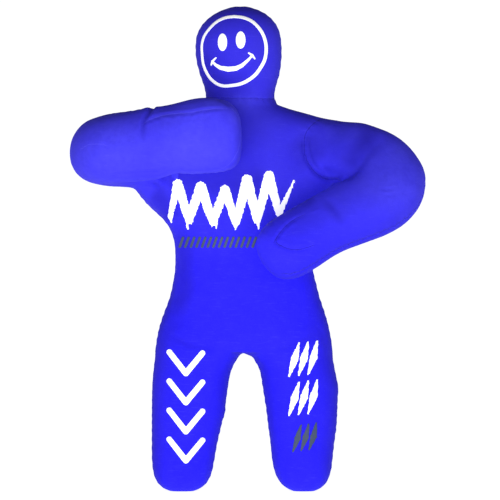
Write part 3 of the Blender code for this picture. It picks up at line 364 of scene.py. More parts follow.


# ---------------------------------------------------------------- the form pulled into shape
kd_samples = KDTree(len(samples))
for i, p in enumerate(samples):
    kd_samples.insert(p, i)
kd_samples.balance()


def labels(points):
    limb, t = [], []
    for p in points:
        _, i, _ = kd_samples.find(p)
        limb.append(sample_limb[i])
        t.append(sample_t[i])
    return np.array(limb), np.array(t)


def pulled(points):
    """Soft local pulls in the front view: (spot, reach, shift in grid steps, which part)."""
    limb, t = labels(points)
    points = points.copy()
    arm_l, arm_r = limb == "arm_l", limb == "arm_r"
    fore = arm_r & (points[:, 1] < -0.022)
    top_half = np.clip((points[:, 2] - 0.868) / 0.055, 0, 1)
    right_side = (arm_l | (limb == "chest")) & (points[:, 0] > 0.02)
    legs_r, legs_l = limb == "leg_r", limb == "leg_l"
    for spot, reach, shift, who in PULLS:
        mask = {"fore_top": fore * top_half, "arm_l": arm_l * 1.0, "side_l": right_side * 1.0, "leg_r": legs_r * 1.0,
                "leg_l": legs_l * 1.0, "head": (limb == "head") * 1.0, "arm_r": arm_r * 1.0, "chest": (limb == "chest") * 1.0,
                "pelvis": (limb == "pelvis") * 1.0}[who]
        x, z = at_px(*spot)
        far = np.hypot(points[:, 0] - x, points[:, 2] - z) / (reach * PX)
        weight = np.exp(-far * far) * mask
        points[:, 0] += weight * shift[0] * PX
        points[:, 2] -= weight * shift[1] * PX
    return points


PULLS = [
    ((208, 106), 40, (0, -13.0), "fore_top"), ((152, 112), 34, (0, -4.0), "fore_top"),
    ((395, 212), 48, (1.4, 6.2), "arm_l"), ((345, 112), 55, (0, 3.8), "side_l"), ((285, 103), 24, (0, 2.0), "side_l"),
    ((412, 150), 30, (-2.6, 1.8), "arm_l"), ((342, 258), 20, (-1.0, -2.0), "arm_l"), ((130, 108), 30, (0, -1.6), "arm_r"),
    ((333, 392), 38, (1.8, 0), "leg_l"), ((230, 405), 42, (1.4, 0), "leg_r"), ((256, 366), 14, (1.2, 0), "leg_l"),
    ((283, 64), 34, (1.5, 0), "head"), ((196, 55), 30, (-0.6, 0), "head"), ((74, 125), 20, (1.2, 1.0), "arm_r"),
    ((76, 172), 22, (-0.8, 0.6), "arm_r"), ((150, 205), 22, (-1.0, 0.8), "chest"), ((310, 300), 30, (0.8, 0), "pelvis"), ((222, 412), 6, (1.3, 0), "leg_r"), ((338, 388), 6, (1.1, 0), "leg_l"),
    ((149, 110), 13, (0, -2.3), "arm_r"), ((97, 114), 12, (0, 0.8), "arm_r"), ((177, 177), 12, (0, -3.2), "arm_r"),
]
set_coords(skin.data, pulled(coords(skin.data)))

# ---------------------------------------------------------------- seam curves
def walk(limb, ts, phi):
    return LIMBS[limb].points(np.asarray(ts), np.full(len(ts), phi), inset=INSET)


def t_at_z(limb, z):
    heights = LIMBS[limb].c[:, 2]
    return float(np.interp(z, heights, LIMBS[limb].t))


def side_line(limb, phi, low, high, count=120):
    return walk(limb, np.linspace(t_at_z(limb, low), t_at_z(limb, high), count), phi)


def near_skin(points, reach=0.012):
    """The stretch of a curve that lies on the outside of the union."""
    tree = BVHTree.FromObject(skin, bpy.context.evaluated_depsgraph_get())
    kept = []
    for p in pulled(points):
        spot, normal, _, far = tree.find_nearest(Vector(p))
        if spot is not None and far < reach:
            kept.append(np.array(spot))
    return np.array(kept)


def arm_line(limb, t0, t1, phi, count=160):
    return walk(limb, np.linspace(t0, t1, count), phi)


seams = []
seams.append(("side", near_skin(np.concatenate([side_line("leg_r", math.pi, 0.006, 0.34), side_line("pelvis", math.pi, 0.36, 0.58),
                                                side_line("chest", math.pi, 0.59, 0.752)]))))
seams.append(("side", near_skin(np.concatenate([side_line("leg_l", 0.0, 0.006, 0.34), side_line("pelvis", 0.0, 0.36, 0.58),
                                                side_line("chest", 0.0, 0.59, 0.745)]))))
seams.append(("side", near_skin(np.concatenate([side_line("leg_r", 0.0, 0.006, 0.335), side_line("leg_l", math.pi, 0.006, 0.335)[::-1]]))))
head_side = np.concatenate([side_line("head", 0.0, 0.998, 1.219), side_line("head", math.pi, 0.998, 1.219)[::-1]])
seams.append(("side", near_skin(head_side)))
ring = np.array([LIMBS["head"].points(t_at_z("head", 0.993 + 0.004 * math.sin(a)), a, inset=INSET) for a in np.linspace(0, 2 * math.pi, 161)])
seams.append(("ring", near_skin(ring, 0.02)))
# the shoulders' top seam and the arms' own long seams
seams.append(("side", near_skin(arm_line("arm_r", 0.02, 0.40, 0.0), 0.009)))
seams.append(("side", near_skin(arm_line("arm_r", 0.30, 0.995, math.pi), 0.009)))
seams.append(("side", near_skin(arm_line("arm_l", 0.16, 0.97, math.pi / 2), 0.009)))
zip_line = np.array([(MID_X, BACK_Y + Y_SHIFT, z) for z in np.linspace(0.615, 0.866, 120)])


def front_curve(spots, spacing=0.003):
    """A smooth curve (x, z) through spots of the front view."""
    pts = [np.array(at_px(*s)) for s in spots]
    dense = []
    for i in range(len(pts) - 1):
        p0, p1, p2, p3 = pts[max(i - 1, 0)], pts[i], pts[i + 1], pts[min(i + 2, len(pts) - 1)]
        steps = max(2, int(np.linalg.norm(p2 - p1) / spacing))
        for k in range(steps):
            s = k / steps
            dense.append(0.5 * ((2 * p1) + (-p0 + p2) * s + (2 * p0 - 5 * p1 + 4 * p2 - p3) * s * s
                                + (-p0 + 3 * p1 - 3 * p2 + p3) * s ** 3))
    dense.append(pts[-1])
    return np.array(dense)


def front_seam(spots):
    """The same curve dropped onto what is seen of the form from the front."""
    tree = BVHTree.FromObject(skin, bpy.context.evaluated_depsgraph_get())
    kept = []
    for x, z in front_curve(spots):
        spot, _, _, _ = tree.ray_cast(Vector((x, -0.7, z)), Vector((0, 1, 0)))
        if spot is not None:
            kept.append(np.array(spot))
    return np.array(kept)


ARMHOLE_L = [(322, 119), (313, 124.5), (306.5, 132), (304, 141), (304, 150), (306.5, 160), (311, 168), (318, 175), (327, 179.5), (340, 180)]
EYE_UP = [(274.5, 241.5), (279, 234), (286, 226), (294, 220), (303, 216)]
EYE_DOWN = [(274.5, 241.5), (282, 246.5), (293, 249.5), (303, 248.5), (313, 245)]
TOP_R = [(146, 124.5), (154, 120.5), (165, 117), (178, 115.5), (190, 115), (201, 112.5), (214, 111), (226, 110.5)]
RIM_R = [(232, 111), (237, 117), (239, 124), (239.6, 134), (239, 145), (235.4, 156), (228, 165.5), (217, 170), (200, 171.2), (182, 170.8)]
LIGHT_R = [(84, 149.5), (91.5, 145.7), (100, 145.5), (108, 146.5)]
seams.append(("armhole", front_seam(ARMHOLE_L)))
seams.append(("faint", front_seam(EYE_UP)))
seams.append(("faint", front_seam(EYE_DOWN)))
seams.append(("light", front_seam(TOP_R)))
seams.append(("rim", front_seam(RIM_R)))
seams.append(("light", front_seam(LIGHT_R)))
# how deep each kind is drawn in, and whether its line is darker or paler than the cloth; the paler lines of the light
# and rim kinds are painted highlights
SEAM_LOOK = {"side": (1.0, -1.0), "ring": (0.6, -0.8), "armhole": (0.50, -1.0), "faint": (0.42, -0.9), "light": (0.22, 0.9), "rim": (0.10, 1.0)}

# ================================================================ cloth: inflate between the held seams
def curve_field(points, curves, reach=0.03):
    """For each point: signed distance to the nearest curve, the way along it, and how near it is from 0 to 1."""
    dense, tang, arc, owner = [], [], [], []
    for number, curve in enumerate(curves):
        if len(curve) < 2:
            continue
        gaps = np.linalg.norm(np.diff(curve, axis=0), axis=1)
        keep = np.concatenate([[True], gaps > 1e-5])
        curve = curve[keep]
        gaps = np.linalg.norm(np.diff(curve, axis=0), axis=1)
        run_on = np.concatenate([[0], np.cumsum(gaps)])
        for i in range(len(curve) - 1):
            if gaps[i] > 0.02:
                continue
            steps = max(1, int(gaps[i] / 0.0015))
            for k in range(steps):
                dense.append(curve[i] + (curve[i + 1] - curve[i]) * k / steps)
                tang.append((curve[i + 1] - curve[i]) / gaps[i])
                arc.append(run_on[i] + gaps[i] * k / steps)
                owner.append(number)
    tree = KDTree(len(dense))
    for i, p in enumerate(dense):
        tree.insert(p, i)
    tree.balance()
    dense, tang, arc, owner = np.array(dense), np.array(tang), np.array(arc), np.array(owner)
    index = np.array([tree.find(p)[1] for p in points])
    away_by = points - dense[index]
    far = np.linalg.norm(away_by, axis=1)
    return away_by, far, tang[index], arc[index], np.clip(1 - far / reach, 0, 1), owner[index]


mesh = skin.data
rest = coords(mesh)
seam_curves = [c for _, c in seams]
_, far, _, _, _, _ = curve_field(rest, [c for kind, c in seams if kind in ("side", "ring", "armhole")] + [zip_line])
pin = np.clip(1 - far / 0.007, 0, 1)
pin[rest[:, 2] < 0.004] = 1.0
back_flat = np.clip(1 - np.abs(rest[:, 0] - MID_X) / 0.040, 0, 1) * (rest[:, 1] > 0.12) * (rest[:, 2] > 0.59) * (rest[:, 2] < 0.89)
pin = np.maximum(pin, np.clip(back_flat * 2, 0, 1))
group = skin.vertex_groups.new(name="held")
for step in range(1, 11):
    chosen = np.nonzero((pin > (step - 1) / 10) & (pin <= step / 10))[0].tolist()
    if chosen:
        group.add(chosen, step / 10, "REPLACE")

cloth = skin.modifiers.new("cloth", "CLOTH")
settings = cloth.settings
settings.quality = 5
settings.mass = 0.3
settings.tension_stiffness = 12
settings.compression_stiffness = 12
settings.shear_stiffness = 6
settings.bending_stiffness = 0.3
settings.use_pressure = True
settings.uniform_pressure_force = 4.0
settings.vertex_group_mass = "held"
settings.pin_stiffness = 1.0
settings.effector_weights.gravity = 0.0
cloth.collision_settings.use_collision = False
cloth.collision_settings.use_self_collision = False
cloth.point_cache.frame_start, cloth.point_cache.frame_end = 1, 16
for number in range(1, 17):
    SCENE.frame_set(number)
puffed = coords(baked(skin))
skin.modifiers.remove(cloth)
SCENE.frame_set(1)
push = puffed - rest
size = np.linalg.norm(push, axis=1, keepdims=True)
CAP = 0.0048
push *= np.where(size > 1e-9, CAP * np.tanh(size / CAP) / np.maximum(size, 1e-9), 0)
free = 1 - np.clip(pin, 0, 1)[:, None]
base = rest + push * (0.25 + 0.75 * free) + normals(mesh) * 0.0025
set_coords(mesh, base)
skin.vertex_groups.clear()

# ================================================================ fine surface: subdivision, then seams, folds, wrinkles
subdivide = skin.modifiers.new("subdivide", "SUBSURF")
subdivide.levels = subdivide.render_levels = 1
mesh = baked(skin)
bpy.data.objects.remove(skin, do_unlink=True)
skin = new_object("skin", mesh)
pts = coords(mesh)
nor = normals(mesh)
limb_of, t_of = labels(pts)
in_arm_r = limb_of == "arm_r"
in_arm_l = limb_of == "arm_l"
fore_r = in_arm_r & (pts[:, 1] < -0.022)


def field_2d(spots, mask):
    """Distance in the front view from each masked point to the curve, and the way along it, from 0 to 1."""
    line = front_curve(spots)
    seg0, seg1 = line[:-1], line[1:]
    idx = np.nonzero(mask)[0]
    p = pts[idx][:, [0, 2]]
    best = np.full(len(idx), 9.0)
    share = np.zeros(len(idx))
    side = np.ones(len(idx))
    lengths = np.linalg.norm(seg1 - seg0, axis=1)
    total = lengths.sum()
    run_on = np.concatenate([[0], np.cumsum(lengths)])[:-1]
    for k in range(len(seg0)):
        d = seg1[k] - seg0[k]
        w = np.clip(((p - seg0[k]) @ d) / max(d @ d, 1e-12), 0, 1)
        q = p - seg0[k] - w[:, None] * d
        r = np.linalg.norm(q, axis=1)
        better = r < best
        best[better] = r[better]
        share[better] = (run_on[k] + w[better] * lengths[k]) / total
        side[better] = np.sign(d[0] * q[better, 1] - d[1] * q[better, 0])
    return idx, best, share, side


offset = np.zeros(len(pts))
shade = np.zeros(len(pts))          # where folds hold shadow


def fold(spots, mask, depth, width, lip=0.0, ends=(0.15, 0.15), one_side=0.0):
    """A soft valley along a front-view curve, with a raised lip beside it and painted shade in the valley."""
    idx, far, share, side = field_2d(spots, mask)
    fade = np.clip(share / max(ends[0], 1e-6), 0, 1) * np.clip((1 - share) / max(ends[1], 1e-6), 0, 1)
    fade = fade * fade * (3 - 2 * fade)
    groove = np.exp(-(far / width) ** 2)
    ridge = np.exp(-((far - 2.1 * width) / (1.2 * width)) ** 2)
    lean = 1 + one_side * side
    offset[idx] += fade * (-depth * groove + lip * ridge * lean)
    shade[idx] = np.maximum(shade[idx], fade * groove * min(depth / 0.006, 1.0))


front_l = in_arm_l & (nor[:, 1] < 0.25)
front_r = fore_r & (nor[:, 1] < 0.35)
torso = ~(in_arm_r | in_arm_l)
front_body = (limb_of == "chest") | (in_arm_l & (t_of < 0.30)) | (in_arm_r & ~fore_r)
front_body &= nor[:, 1] < 0.3

# left armhole: a sewn valley with the arm bulging inside it
ah_mask = (pts[:, 1] < 0.09) & (pts[:, 0] > 0.10) & (limb_of != "head") & ~((in_arm_l) & (t_of > 0.62))
fold(ARMHOLE_L[2:], ah_mask, 0.0050, 0.0044, lip=0.0018, ends=(0.22, 0.05), one_side=0.8)
fold([(318, 150), (324, 162), (332, 170)], ah_mask, -0.0045, 0.0120, ends=(0.5, 0.3))
# left inner elbow: the fold between upper arm and forearm, and the soft folds that fan out of it
fold([(338, 183), (346, 177.5), (354, 170), (361, 160), (370, 150), (382, 142), (396, 136)], front_l, 0.0095, 0.0125, lip=0.0012, ends=(0.30, 0.8))
fold([(338, 182), (345, 178), (352, 172.5), (359, 166)], front_l, 0.0022, 0.0050, lip=0.0006, ends=(0.3, 0.6))
fold([(322, 197), (331, 205), (339, 215), (345, 227)], front_l, 0.0030, 0.0110, lip=0.0008, ends=(0.3, 0.5))
fold([(353, 214), (353, 224), (354, 234)], front_l, -0.0006, 0.0030, ends=(0.4, 0.4))
fold([(376, 189), (386, 190.5), (397, 188)], front_l, 0.0009, 0.0036, lip=0.0005, ends=(0.4, 0.4))
fold([(380, 194), (389, 196), (398, 193.5)], front_l, 0.0007, 0.0034, lip=0.0004, ends=(0.4, 0.4))
# the lens-shaped seam on the left hand
fold(EYE_UP, front_l, 0.0018, 0.0040, lip=0.0010, ends=(0.02, 0.35))
fold(EYE_DOWN, front_l, 0.0020, 0.0040, lip=0.0012, ends=(0.02, 0.35))
fold([(309, 214), (320, 208.5)], front_l, -0.0012, 0.0026, ends=(0.3, 0.3))
# right arm: the fold that parts elbow and forearm, the long seam, the puckers
fold([(155, 106), (150.5, 113), (147, 119), (144.7, 126), (144.5, 138), (146, 150)], front_r, 0.0042, 0.0054, lip=0.0010, ends=(0.04, 0.65))
fold([(157, 103), (154, 109), (150, 115)], in_arm_r & (pts[:, 2] > 0.93), 0.0018, 0.0045, ends=(0.1, 0.4))
fold(TOP_R, front_r, 0.0007, 0.0034, lip=0.0010, ends=(0.05, 0.1))
for start, end in (((150, 122), (157, 124)), ((157, 119), (166, 121.5)), ((168, 116.5), (178, 119)), ((196, 114), (190, 118)), ((208, 112), (203, 116))):
    fold([start, ((start[0] + end[0]) / 2, (start[1] + end[1]) / 2 + 0.4), end], front_r, 0.0012, 0.0028, lip=0.0006, ends=(0.3, 0.5))
fold([(101, 181), (112, 177.5), (125, 175), (145, 173.5), (158, 173), (170, 170)], fore_r, 0.0026, 0.0040, lip=0.0010, ends=(0.2, 0.2))
for k, (px, py) in enumerate(((131, 141), (137, 143), (142, 140), (134, 137))):
    fold([(px - 3.5, py + 1.0 * (k % 2)), (px + 3.5, py - 1.0 * (k % 2))], front_r, 0.0009, 0.0022, ends=(0.4, 0.4))
# slack cloth by the neck, over the hand
fold([(216, 100), (223, 103), (231, 109)], front_r, 0.0014, 0.0034, lip=0.0008, ends=(0.3, 0.3))
fold([(219, 106), (227, 108)], front_r, 0.0010, 0.0028, ends=(0.3, 0.3))
# armpits
back_of = ((limb_of == "chest") | ((in_arm_r) & ~fore_r)) & (nor[:, 1] < 0.25)
fold([(150, 180), (158, 186), (163, 195)], back_of & (pts[:, 0] < -0.15), 0.0040, 0.0050, lip=0.0016, ends=(0.3, 0.5))
fold([(158, 174), (168, 182), (172, 190)], back_of & (pts[:, 0] < -0.15), 0.0032, 0.0050, lip=0.0012, ends=(0.3, 0.5))
# chest: slack towards the arms; belly: faint cross folds at the waist and the groin
body_front = torso & (nor[:, 1] < 0.1)
fold([(183, 268), (215, 274), (262, 275), (306, 268)], body_front, 0.0012, 0.0120, ends=(0.3, 0.3))
fold([(164, 333), (188, 343), (216, 350), (238, 352)], body_front, 0.0024, 0.0110, lip=0.0006, ends=(0.3, 0.2))
fold([(254, 352), (275, 349), (301, 341), (324, 330)], body_front, 0.0024, 0.0110, lip=0.0006, ends=(0.2, 0.3))
fold([(247, 352), (247, 340), (246, 326)], body_front, 0.0016, 0.0080, ends=(0.1, 0.6))

# sewn seams: a shallow valley and the small puckers that the thread draws in
away_by, far, tang, arc, near, owner = curve_field(pts, seam_curves)
looks = np.array([SEAM_LOOK[kind] for kind, _ in seams])
deep = looks[owner, 0]
side = np.sign(np.einsum("ij,ij->i", np.cross(tang, nor), away_by))
side[side == 0] = 1
offset -= deep * 0.0022 * np.exp(-(far / 0.0036) ** 2)
offset += deep * 0.0008 * np.exp(-((far - 0.0095) / 0.0055) ** 2)
wave = np.sin(arc * 2 * math.pi / 0.021 + 1.3 * np.sin(arc * 31.0)) * (0.6 + 0.4 * np.sin(arc * 17.0 + side))
offset += np.minimum(deep * 1.4, 1.0) * 0.0010 * wave * np.exp(-(far / 0.012) ** 2)

# soft unevenness of the filling: sums of sines, the same each run
rng = np.random.default_rng(7)
lumps = np.zeros(len(pts))
for scale, size in ((16.0, 0.0011), (34.0, 0.0006), (62.0, 0.0003)):
    for _ in range(7):
        way = rng.normal(size=3)
        way *= scale * (0.7 + 0.6 * rng.random()) / np.linalg.norm(way)
        lumps += size / 3.0 * np.sin(pts @ way + rng.random() * 6.28)
still = np.clip(np.abs(pts[:, 0] - MID_X) / 0.03 - 0.6, 0, 1)
zip_zone = (pts[:, 1] > 0.12) & (pts[:, 2] > 0.60) & (pts[:, 2] < 0.885)
offset = np.where(zip_zone, offset * still, offset)
lumps = np.where(zip_zone, lumps * still, lumps)
floor_fade = np.clip(pts[:, 2] / 0.02, 0, 1)
pts = pts + nor * ((offset + lumps) * floor_fade)[:, None]
# the zip's bed lies just under the CAD panels' outside
bed = BACK_Y + Y_SHIFT - 0.0004
near_zip = np.clip(1.35 - np.abs(pts[:, 0] - MID_X) / 0.024, 0, 1) * zip_zone
pts[:, 1] = np.where(near_zip > 0, pts[:, 1] + (np.minimum(pts[:, 1], bed) - pts[:, 1]) * near_zip, pts[:, 1])
pts[:, 1] = np.where(near_zip > 0, pts[:, 1] + (bed - pts[:, 1]) * near_zip * 0.9, pts[:, 1])
# the soles rest on the floor
low = pts[:, 2] < 0.0035
pts[:, 2] = np.maximum(pts[:, 2], 0.0)
pts[:, 2] -= min(pts[:, 2].min(), 0.0)
set_coords(mesh, pts)


def store(mesh, name, values, kind="FLOAT"):
    layer = mesh.attributes.new(name, kind, "POINT")
    if kind == "FLOAT":
        layer.data.foreach_set("value", np.ascontiguousarray(values, np.float32))
    else:
        layer.data.foreach_set("vector", np.ascontiguousarray(values, np.float32).ravel())


nor = normals(mesh)
away_by, far, tang, arc, near, owner = curve_field(pts, seam_curves, reach=0.022)
store(mesh, "seam_k", looks[owner, 0])
store(mesh, "seam_tone", looks[owner, 1])
side = np.sign(np.einsum("ij,ij->i", np.cross(tang, nor), away_by))
side[side == 0] = 1
store(mesh, "seam_d", np.clip(far, 0, 0.03) * side * 100)
store(mesh, "seam_s", arc * 100)
store(mesh, "seam_near", near)
store(mesh, "rest_pos", pts, "FLOAT_VECTOR")


def paint(spots, mask, amount, width, ends=0.25):
    """Painted shade along a front-view curve: in hollows of the cloth, under the arms and along turned-away edges."""
    idx, far_by, share, _ = field_2d(spots, mask)
    fade = np.clip(share / ends, 0, 1) * np.clip((1 - share) / ends, 0, 1)
    shade[idx] = np.maximum(shade[idx], amount * fade * np.exp(-(far_by / (width * PX)) ** 2))


shade *= 0.75
# painted shade on the left arm: along the forearm's upper edge, by the hand seam, in the elbow valley and on the
# shoulder
paint([(316, 197), (307, 201), (292, 207), (273, 217), (263, 225), (257, 238)], in_arm_l & (t_of > 0.6), 0.66, 7.5, 0.12)
paint([(262, 226), (268, 222), (275, 219)], in_arm_l & (t_of > 0.6), 0.9, 6.0, 0.3)
paint([(320, 195), (330, 204), (339, 215), (346, 228)], front_l, 0.34, 7.0, 0.4)
paint([(344, 175), (351, 162), (360, 151), (369, 142), (380, 135)], front_l | ah_mask, 1.0, 13.0, 0.25)
paint([(322, 120), (338, 126), (352, 128), (368, 124)], front_l | ah_mask, 0.10, 13.0, 0.35)
# painted shade: the shadow of the arms on the trunk, deeper shade down the trunk's right side, and shade on the head
# under the chin
trunk = ~(in_arm_r | in_arm_l) & (nor[:, 1] < 0.2) & (limb_of != "head")
paint([(162, 186), (190, 184), (220, 184), (248, 183), (272, 178)], trunk, 0.75, 17.0, 0.12)
paint([(298, 134), (308, 150), (318, 166)], trunk | front_l, 0.60, 20.0, 0.3)
paint([(150, 190), (160, 198), (168, 211), (173, 224)], trunk, 0.80, 12.0, 0.20)
paint([(174, 222), (184, 245), (184, 270), (185, 290), (176, 306), (166, 320)], trunk, 0.55, 11.0, 0.20)
paint([(203, 48), (207, 65), (218, 80), (235, 86), (252, 83)], (limb_of == "head") & (nor[:, 1] < 0.2), 0.42, 11.0, 0.20)
# painted highlight: a paler, hazier blue where light grazes the arms and their upward edges, on arm cloth not turned
# away
painted_highlight = np.zeros(len(pts))
for spot, reach, amount in (((195, 145), 52, 1.0), ((110, 148), 44, 0.95), ((398, 178), 40, 0.80), ((418, 200), 26, 0.5), ((150, 190), 26, 0.35),
                            ((280, 268), 22, 0.12), ((350, 205), 30, 0.22), ((402, 150), 24, 0.95), ((345, 124), 20, 0.7), ((326, 184), 8, 0.7),
                            ((216, 102), 20, 1.0), ((238, 118), 14, 0.9), ((100, 120), 18, 0.9)):
    wx, wz = at_px(*spot)
    hit = np.exp(-(np.hypot(pts[:, 0] - wx, pts[:, 2] - wz) / (reach * PX)) ** 2) * amount
    hit *= np.where(in_arm_r | in_arm_l, 1.0, 0.0) * np.clip(0.4 - nor[:, 1], 0, 1)
    painted_highlight = np.maximum(painted_highlight, hit)
# painted highlight over the neck, lifting the shade under the chin
wx, wz = at_px(244, 103)
painted_highlight = np.maximum(painted_highlight, 1.0 * np.exp(-(np.hypot((pts[:, 0] - wx) / 1.6, pts[:, 2] - wz) / (11 * PX)) ** 2) * np.clip(0.4 - nor[:, 1], 0, 1) * ~(in_arm_r | in_arm_l))
# painted shade on cloth that faces sideways, most of all on the hips and legs
low = np.clip((0.62 - pts[:, 2]) / 0.10, 0, 1)
shade = np.maximum(shade, np.clip((0.88 - np.abs(nor[:, 1])) / 0.88, 0, 1) ** 1.25 * low)
shade = np.maximum(shade, np.clip((0.72 - np.abs(nor[:, 1])) / 0.72, 0, 1) ** 1.5 * 0.55 * (1 - low) * ~(in_arm_r | in_arm_l))
# painted shade on the undersides of the arms
under = np.clip((-0.12 - nor[:, 2]) / 0.75, 0, 1) * (nor[:, 1] < 0.5)
shade = np.maximum(shade, under * np.where(in_arm_l, 0.62, np.where(in_arm_r, 0.30, 0.0)))
store(mesh, "painted_highlight", painted_highlight)
store(mesh, "fold_shade", shade)
limb_code = np.select([fore_r, in_arm_r, in_arm_l & (t_of > 0.42), in_arm_l, limb_of == "head"], [2, 1, 4, 3, 5], 0)
store(mesh, "limb", limb_code.astype(float))

# ================================================================ part the skin at the joints
P = {
    "neck": np.array([NECK_X, 0.002 + Y_SHIFT, 0.985]),
    "right_shoulder": np.array([-0.225, Y_SHIFT, 0.858]),
    "left_shoulder": np.array([0.202, Y_SHIFT, 0.858]),
}
TILT = math.radians(19.4)
out_r = np.array([-math.cos(TILT), 0, math.sin(TILT)])
out_ll = np.array([math.cos(TILT), 0, math.sin(TILT)])
crease_l = np.array(CREASE_L) + np.array([0, Y_SHIFT, 0])
crotch = np.array([MID_X, Y_SHIFT, 0.350])
hip_dir_r, hip_dir_l = unit((-0.45, 0, -0.89)), unit((0.45, 0, -0.89))
NECK_LOW, NECK_TOP = 0.9905, 1.042
LEG_Z = 0.2405
SH_R0, SH_R1 = P["right_shoulder"] - 0.034 * out_r, P["right_shoulder"] + 0.028 * out_r
SH_L0, SH_L1 = P["left_shoulder"] - 0.040 * out_ll, P["left_shoulder"] + 0.010 * out_ll

bm = bmesh.new()
bm.from_mesh(mesh)
limb_layer = bm.verts.layers.float.get("limb")


def slice_at(point, normal, mask):
    """Cuts the faces for which `mask` holds along a plane."""
    faces = [f for f in bm.faces if mask(f)]
    verts = {v for f in faces for v in f.verts}
    edges = {e for f in faces for e in f.edges}
    bmesh.ops.bisect_plane(bm, geom=list(verts) + list(edges) + faces, dist=1e-5, plane_co=Vector(point),
                           plane_no=Vector(normal), clear_inner=False, clear_outer=False)


def code(f):
    return min(v[limb_layer] for v in f.verts), max(v[limb_layer] for v in f.verts)


def near_shoulder_r(f):
    c = f.calc_center_median()
    return c.y > -0.022 and c.x < -0.10 and c.z > 0.68 and c.z < 0.99


def near_shoulder_l(f):
    c = f.calc_center_median()
    low, high = code(f)
    return c.x > 0.10 and c.z > 0.68 and c.z < 0.99 and high < 3.5


slice_at(SH_R0, out_r, near_shoulder_r)
slice_at(SH_R1, out_r, near_shoulder_r)
slice_at(SH_L0, out_ll, near_shoulder_l)
slice_at(SH_L1, out_ll, near_shoulder_l)
slice_at((0, 0, NECK_LOW), Z, lambda f: abs(f.calc_center_median().x - NECK_X) < 0.13 and abs(f.calc_center_median().z - NECK_LOW) < 0.03)
slice_at(crotch, hip_dir_r, lambda f: f.calc_center_median().x < MID_X + 0.002 and 0.30 < f.calc_center_median().z < 0.52)
slice_at(crotch, hip_dir_l, lambda f: f.calc_center_median().x > MID_X - 0.002 and 0.30 < f.calc_center_median().z < 0.52)
slice_at((0, 0, LEG_Z), Z, lambda f: abs(f.calc_center_median().z - LEG_Z) < 0.03)


def piece_of(f):
    c = np.array(f.calc_center_median())
    low, high = code(f)
    if c[2] < LEG_Z:
        return "right_lower_leg" if c[0] < MID_X else "left_lower_leg"
    if c[0] < MID_X and (c - crotch) @ hip_dir_r > 0 and c[2] < 0.52 and high < 1.5:
        return "right_hip"
    if c[0] >= MID_X and (c - crotch) @ hip_dir_l > 0 and c[2] < 0.52 and high < 0.5:
        return "left_hip"
    if c[2] > NECK_LOW and abs(c[0] - NECK_X) < 0.14 and c[1] > -0.06:
        return "head"
    if c[0] < -0.0 and c[1] < -0.022 and high > 1.5 and high < 2.5:
        return "right_arm"
    if near_shoulder_r(f):
        if (c - SH_R1) @ out_r > 0:
            return "right_arm"
        if (c - SH_R0) @ out_r > 0:
            return "right_shoulder"
        return "body"
    if c[0] < -0.28 and c[2] > 0.68:
        return "right_arm"
    if high > 3.5 and high < 4.5:
        return "left_arm"
    if near_shoulder_l(f):
        if (c - SH_L1) @ out_ll > 0:
            return "left_arm"
        if (c - SH_L0) @ out_ll > 0:
            return "left_shoulder"
        return "body"
    if c[0] > 0.29 and c[2] > 0.60:
        return "left_arm"
    return "body"


NAMES = ["body", "head", "right_shoulder", "right_arm", "left_shoulder", "left_arm", "right_hip", "left_hip",
         "right_lower_leg", "left_lower_leg"]
bm.normal_update()
which = [NAMES.index(piece_of(f)) for f in bm.faces]
# islands of under 60 faces join the piece around them
bm.faces.ensure_lookup_table()
for _ in range(3):
    seen = [False] * len(bm.faces)
    for first in bm.faces:
        if seen[first.index]:
            continue
        seen[first.index] = True
        island, stack = [], [first]
        border = {}
        while stack:
            f = stack.pop()
            island.append(f)
            for e in f.edges:
                for g in e.link_faces:
                    if g is f:
                        continue
                    if which[g.index] == which[first.index]:
                        if not seen[g.index]:
                            seen[g.index] = True
                            stack.append(g)
                    else:
                        border[which[g.index]] = border.get(which[g.index], 0) + 1
        if len(island) < 400 and border:
            new = max(border, key=border.get)
            for f in island:
                which[f.index] = new
whole_normals = {}
for v in bm.verts:
    whole_normals[tuple(np.round(v.co, 6))] = v.normal.copy()
parted = {}
for number, name in enumerate(NAMES):
    copy = bm.copy()
    copy.faces.ensure_lookup_table()
    bmesh.ops.delete(copy, geom=[f for f in copy.faces if which[f.index] != number], context="FACES")
    if not copy.faces:
        copy.free()
        continue
    made_mesh = bpy.data.meshes.new(f"{name}_skin")
    copy.to_mesh(made_mesh)
    copy.free()
    made_mesh.shade_smooth()
    made_mesh.normals_split_custom_set_from_vertices(
        [whole_normals.get(tuple(np.round(v.co, 6)), v.normal) for v in made_mesh.vertices])
    parted[name] = new_object(f"{name}_skin", made_mesh)
    print("piece", name, len(made_mesh.polygons))
bm.free()
bpy.data.objects.remove(skin, do_unlink=True)
trees = {name: BVHTree.FromObject(o, bpy.context.evaluated_depsgraph_get()) for name, o in parted.items()}


# ================================================================ materials
def material(name):
    made = bpy.data.materials.new(name)
    made.use_nodes = True
    tree = made.node_tree
    return made, tree, tree.nodes["Principled BSDF"]


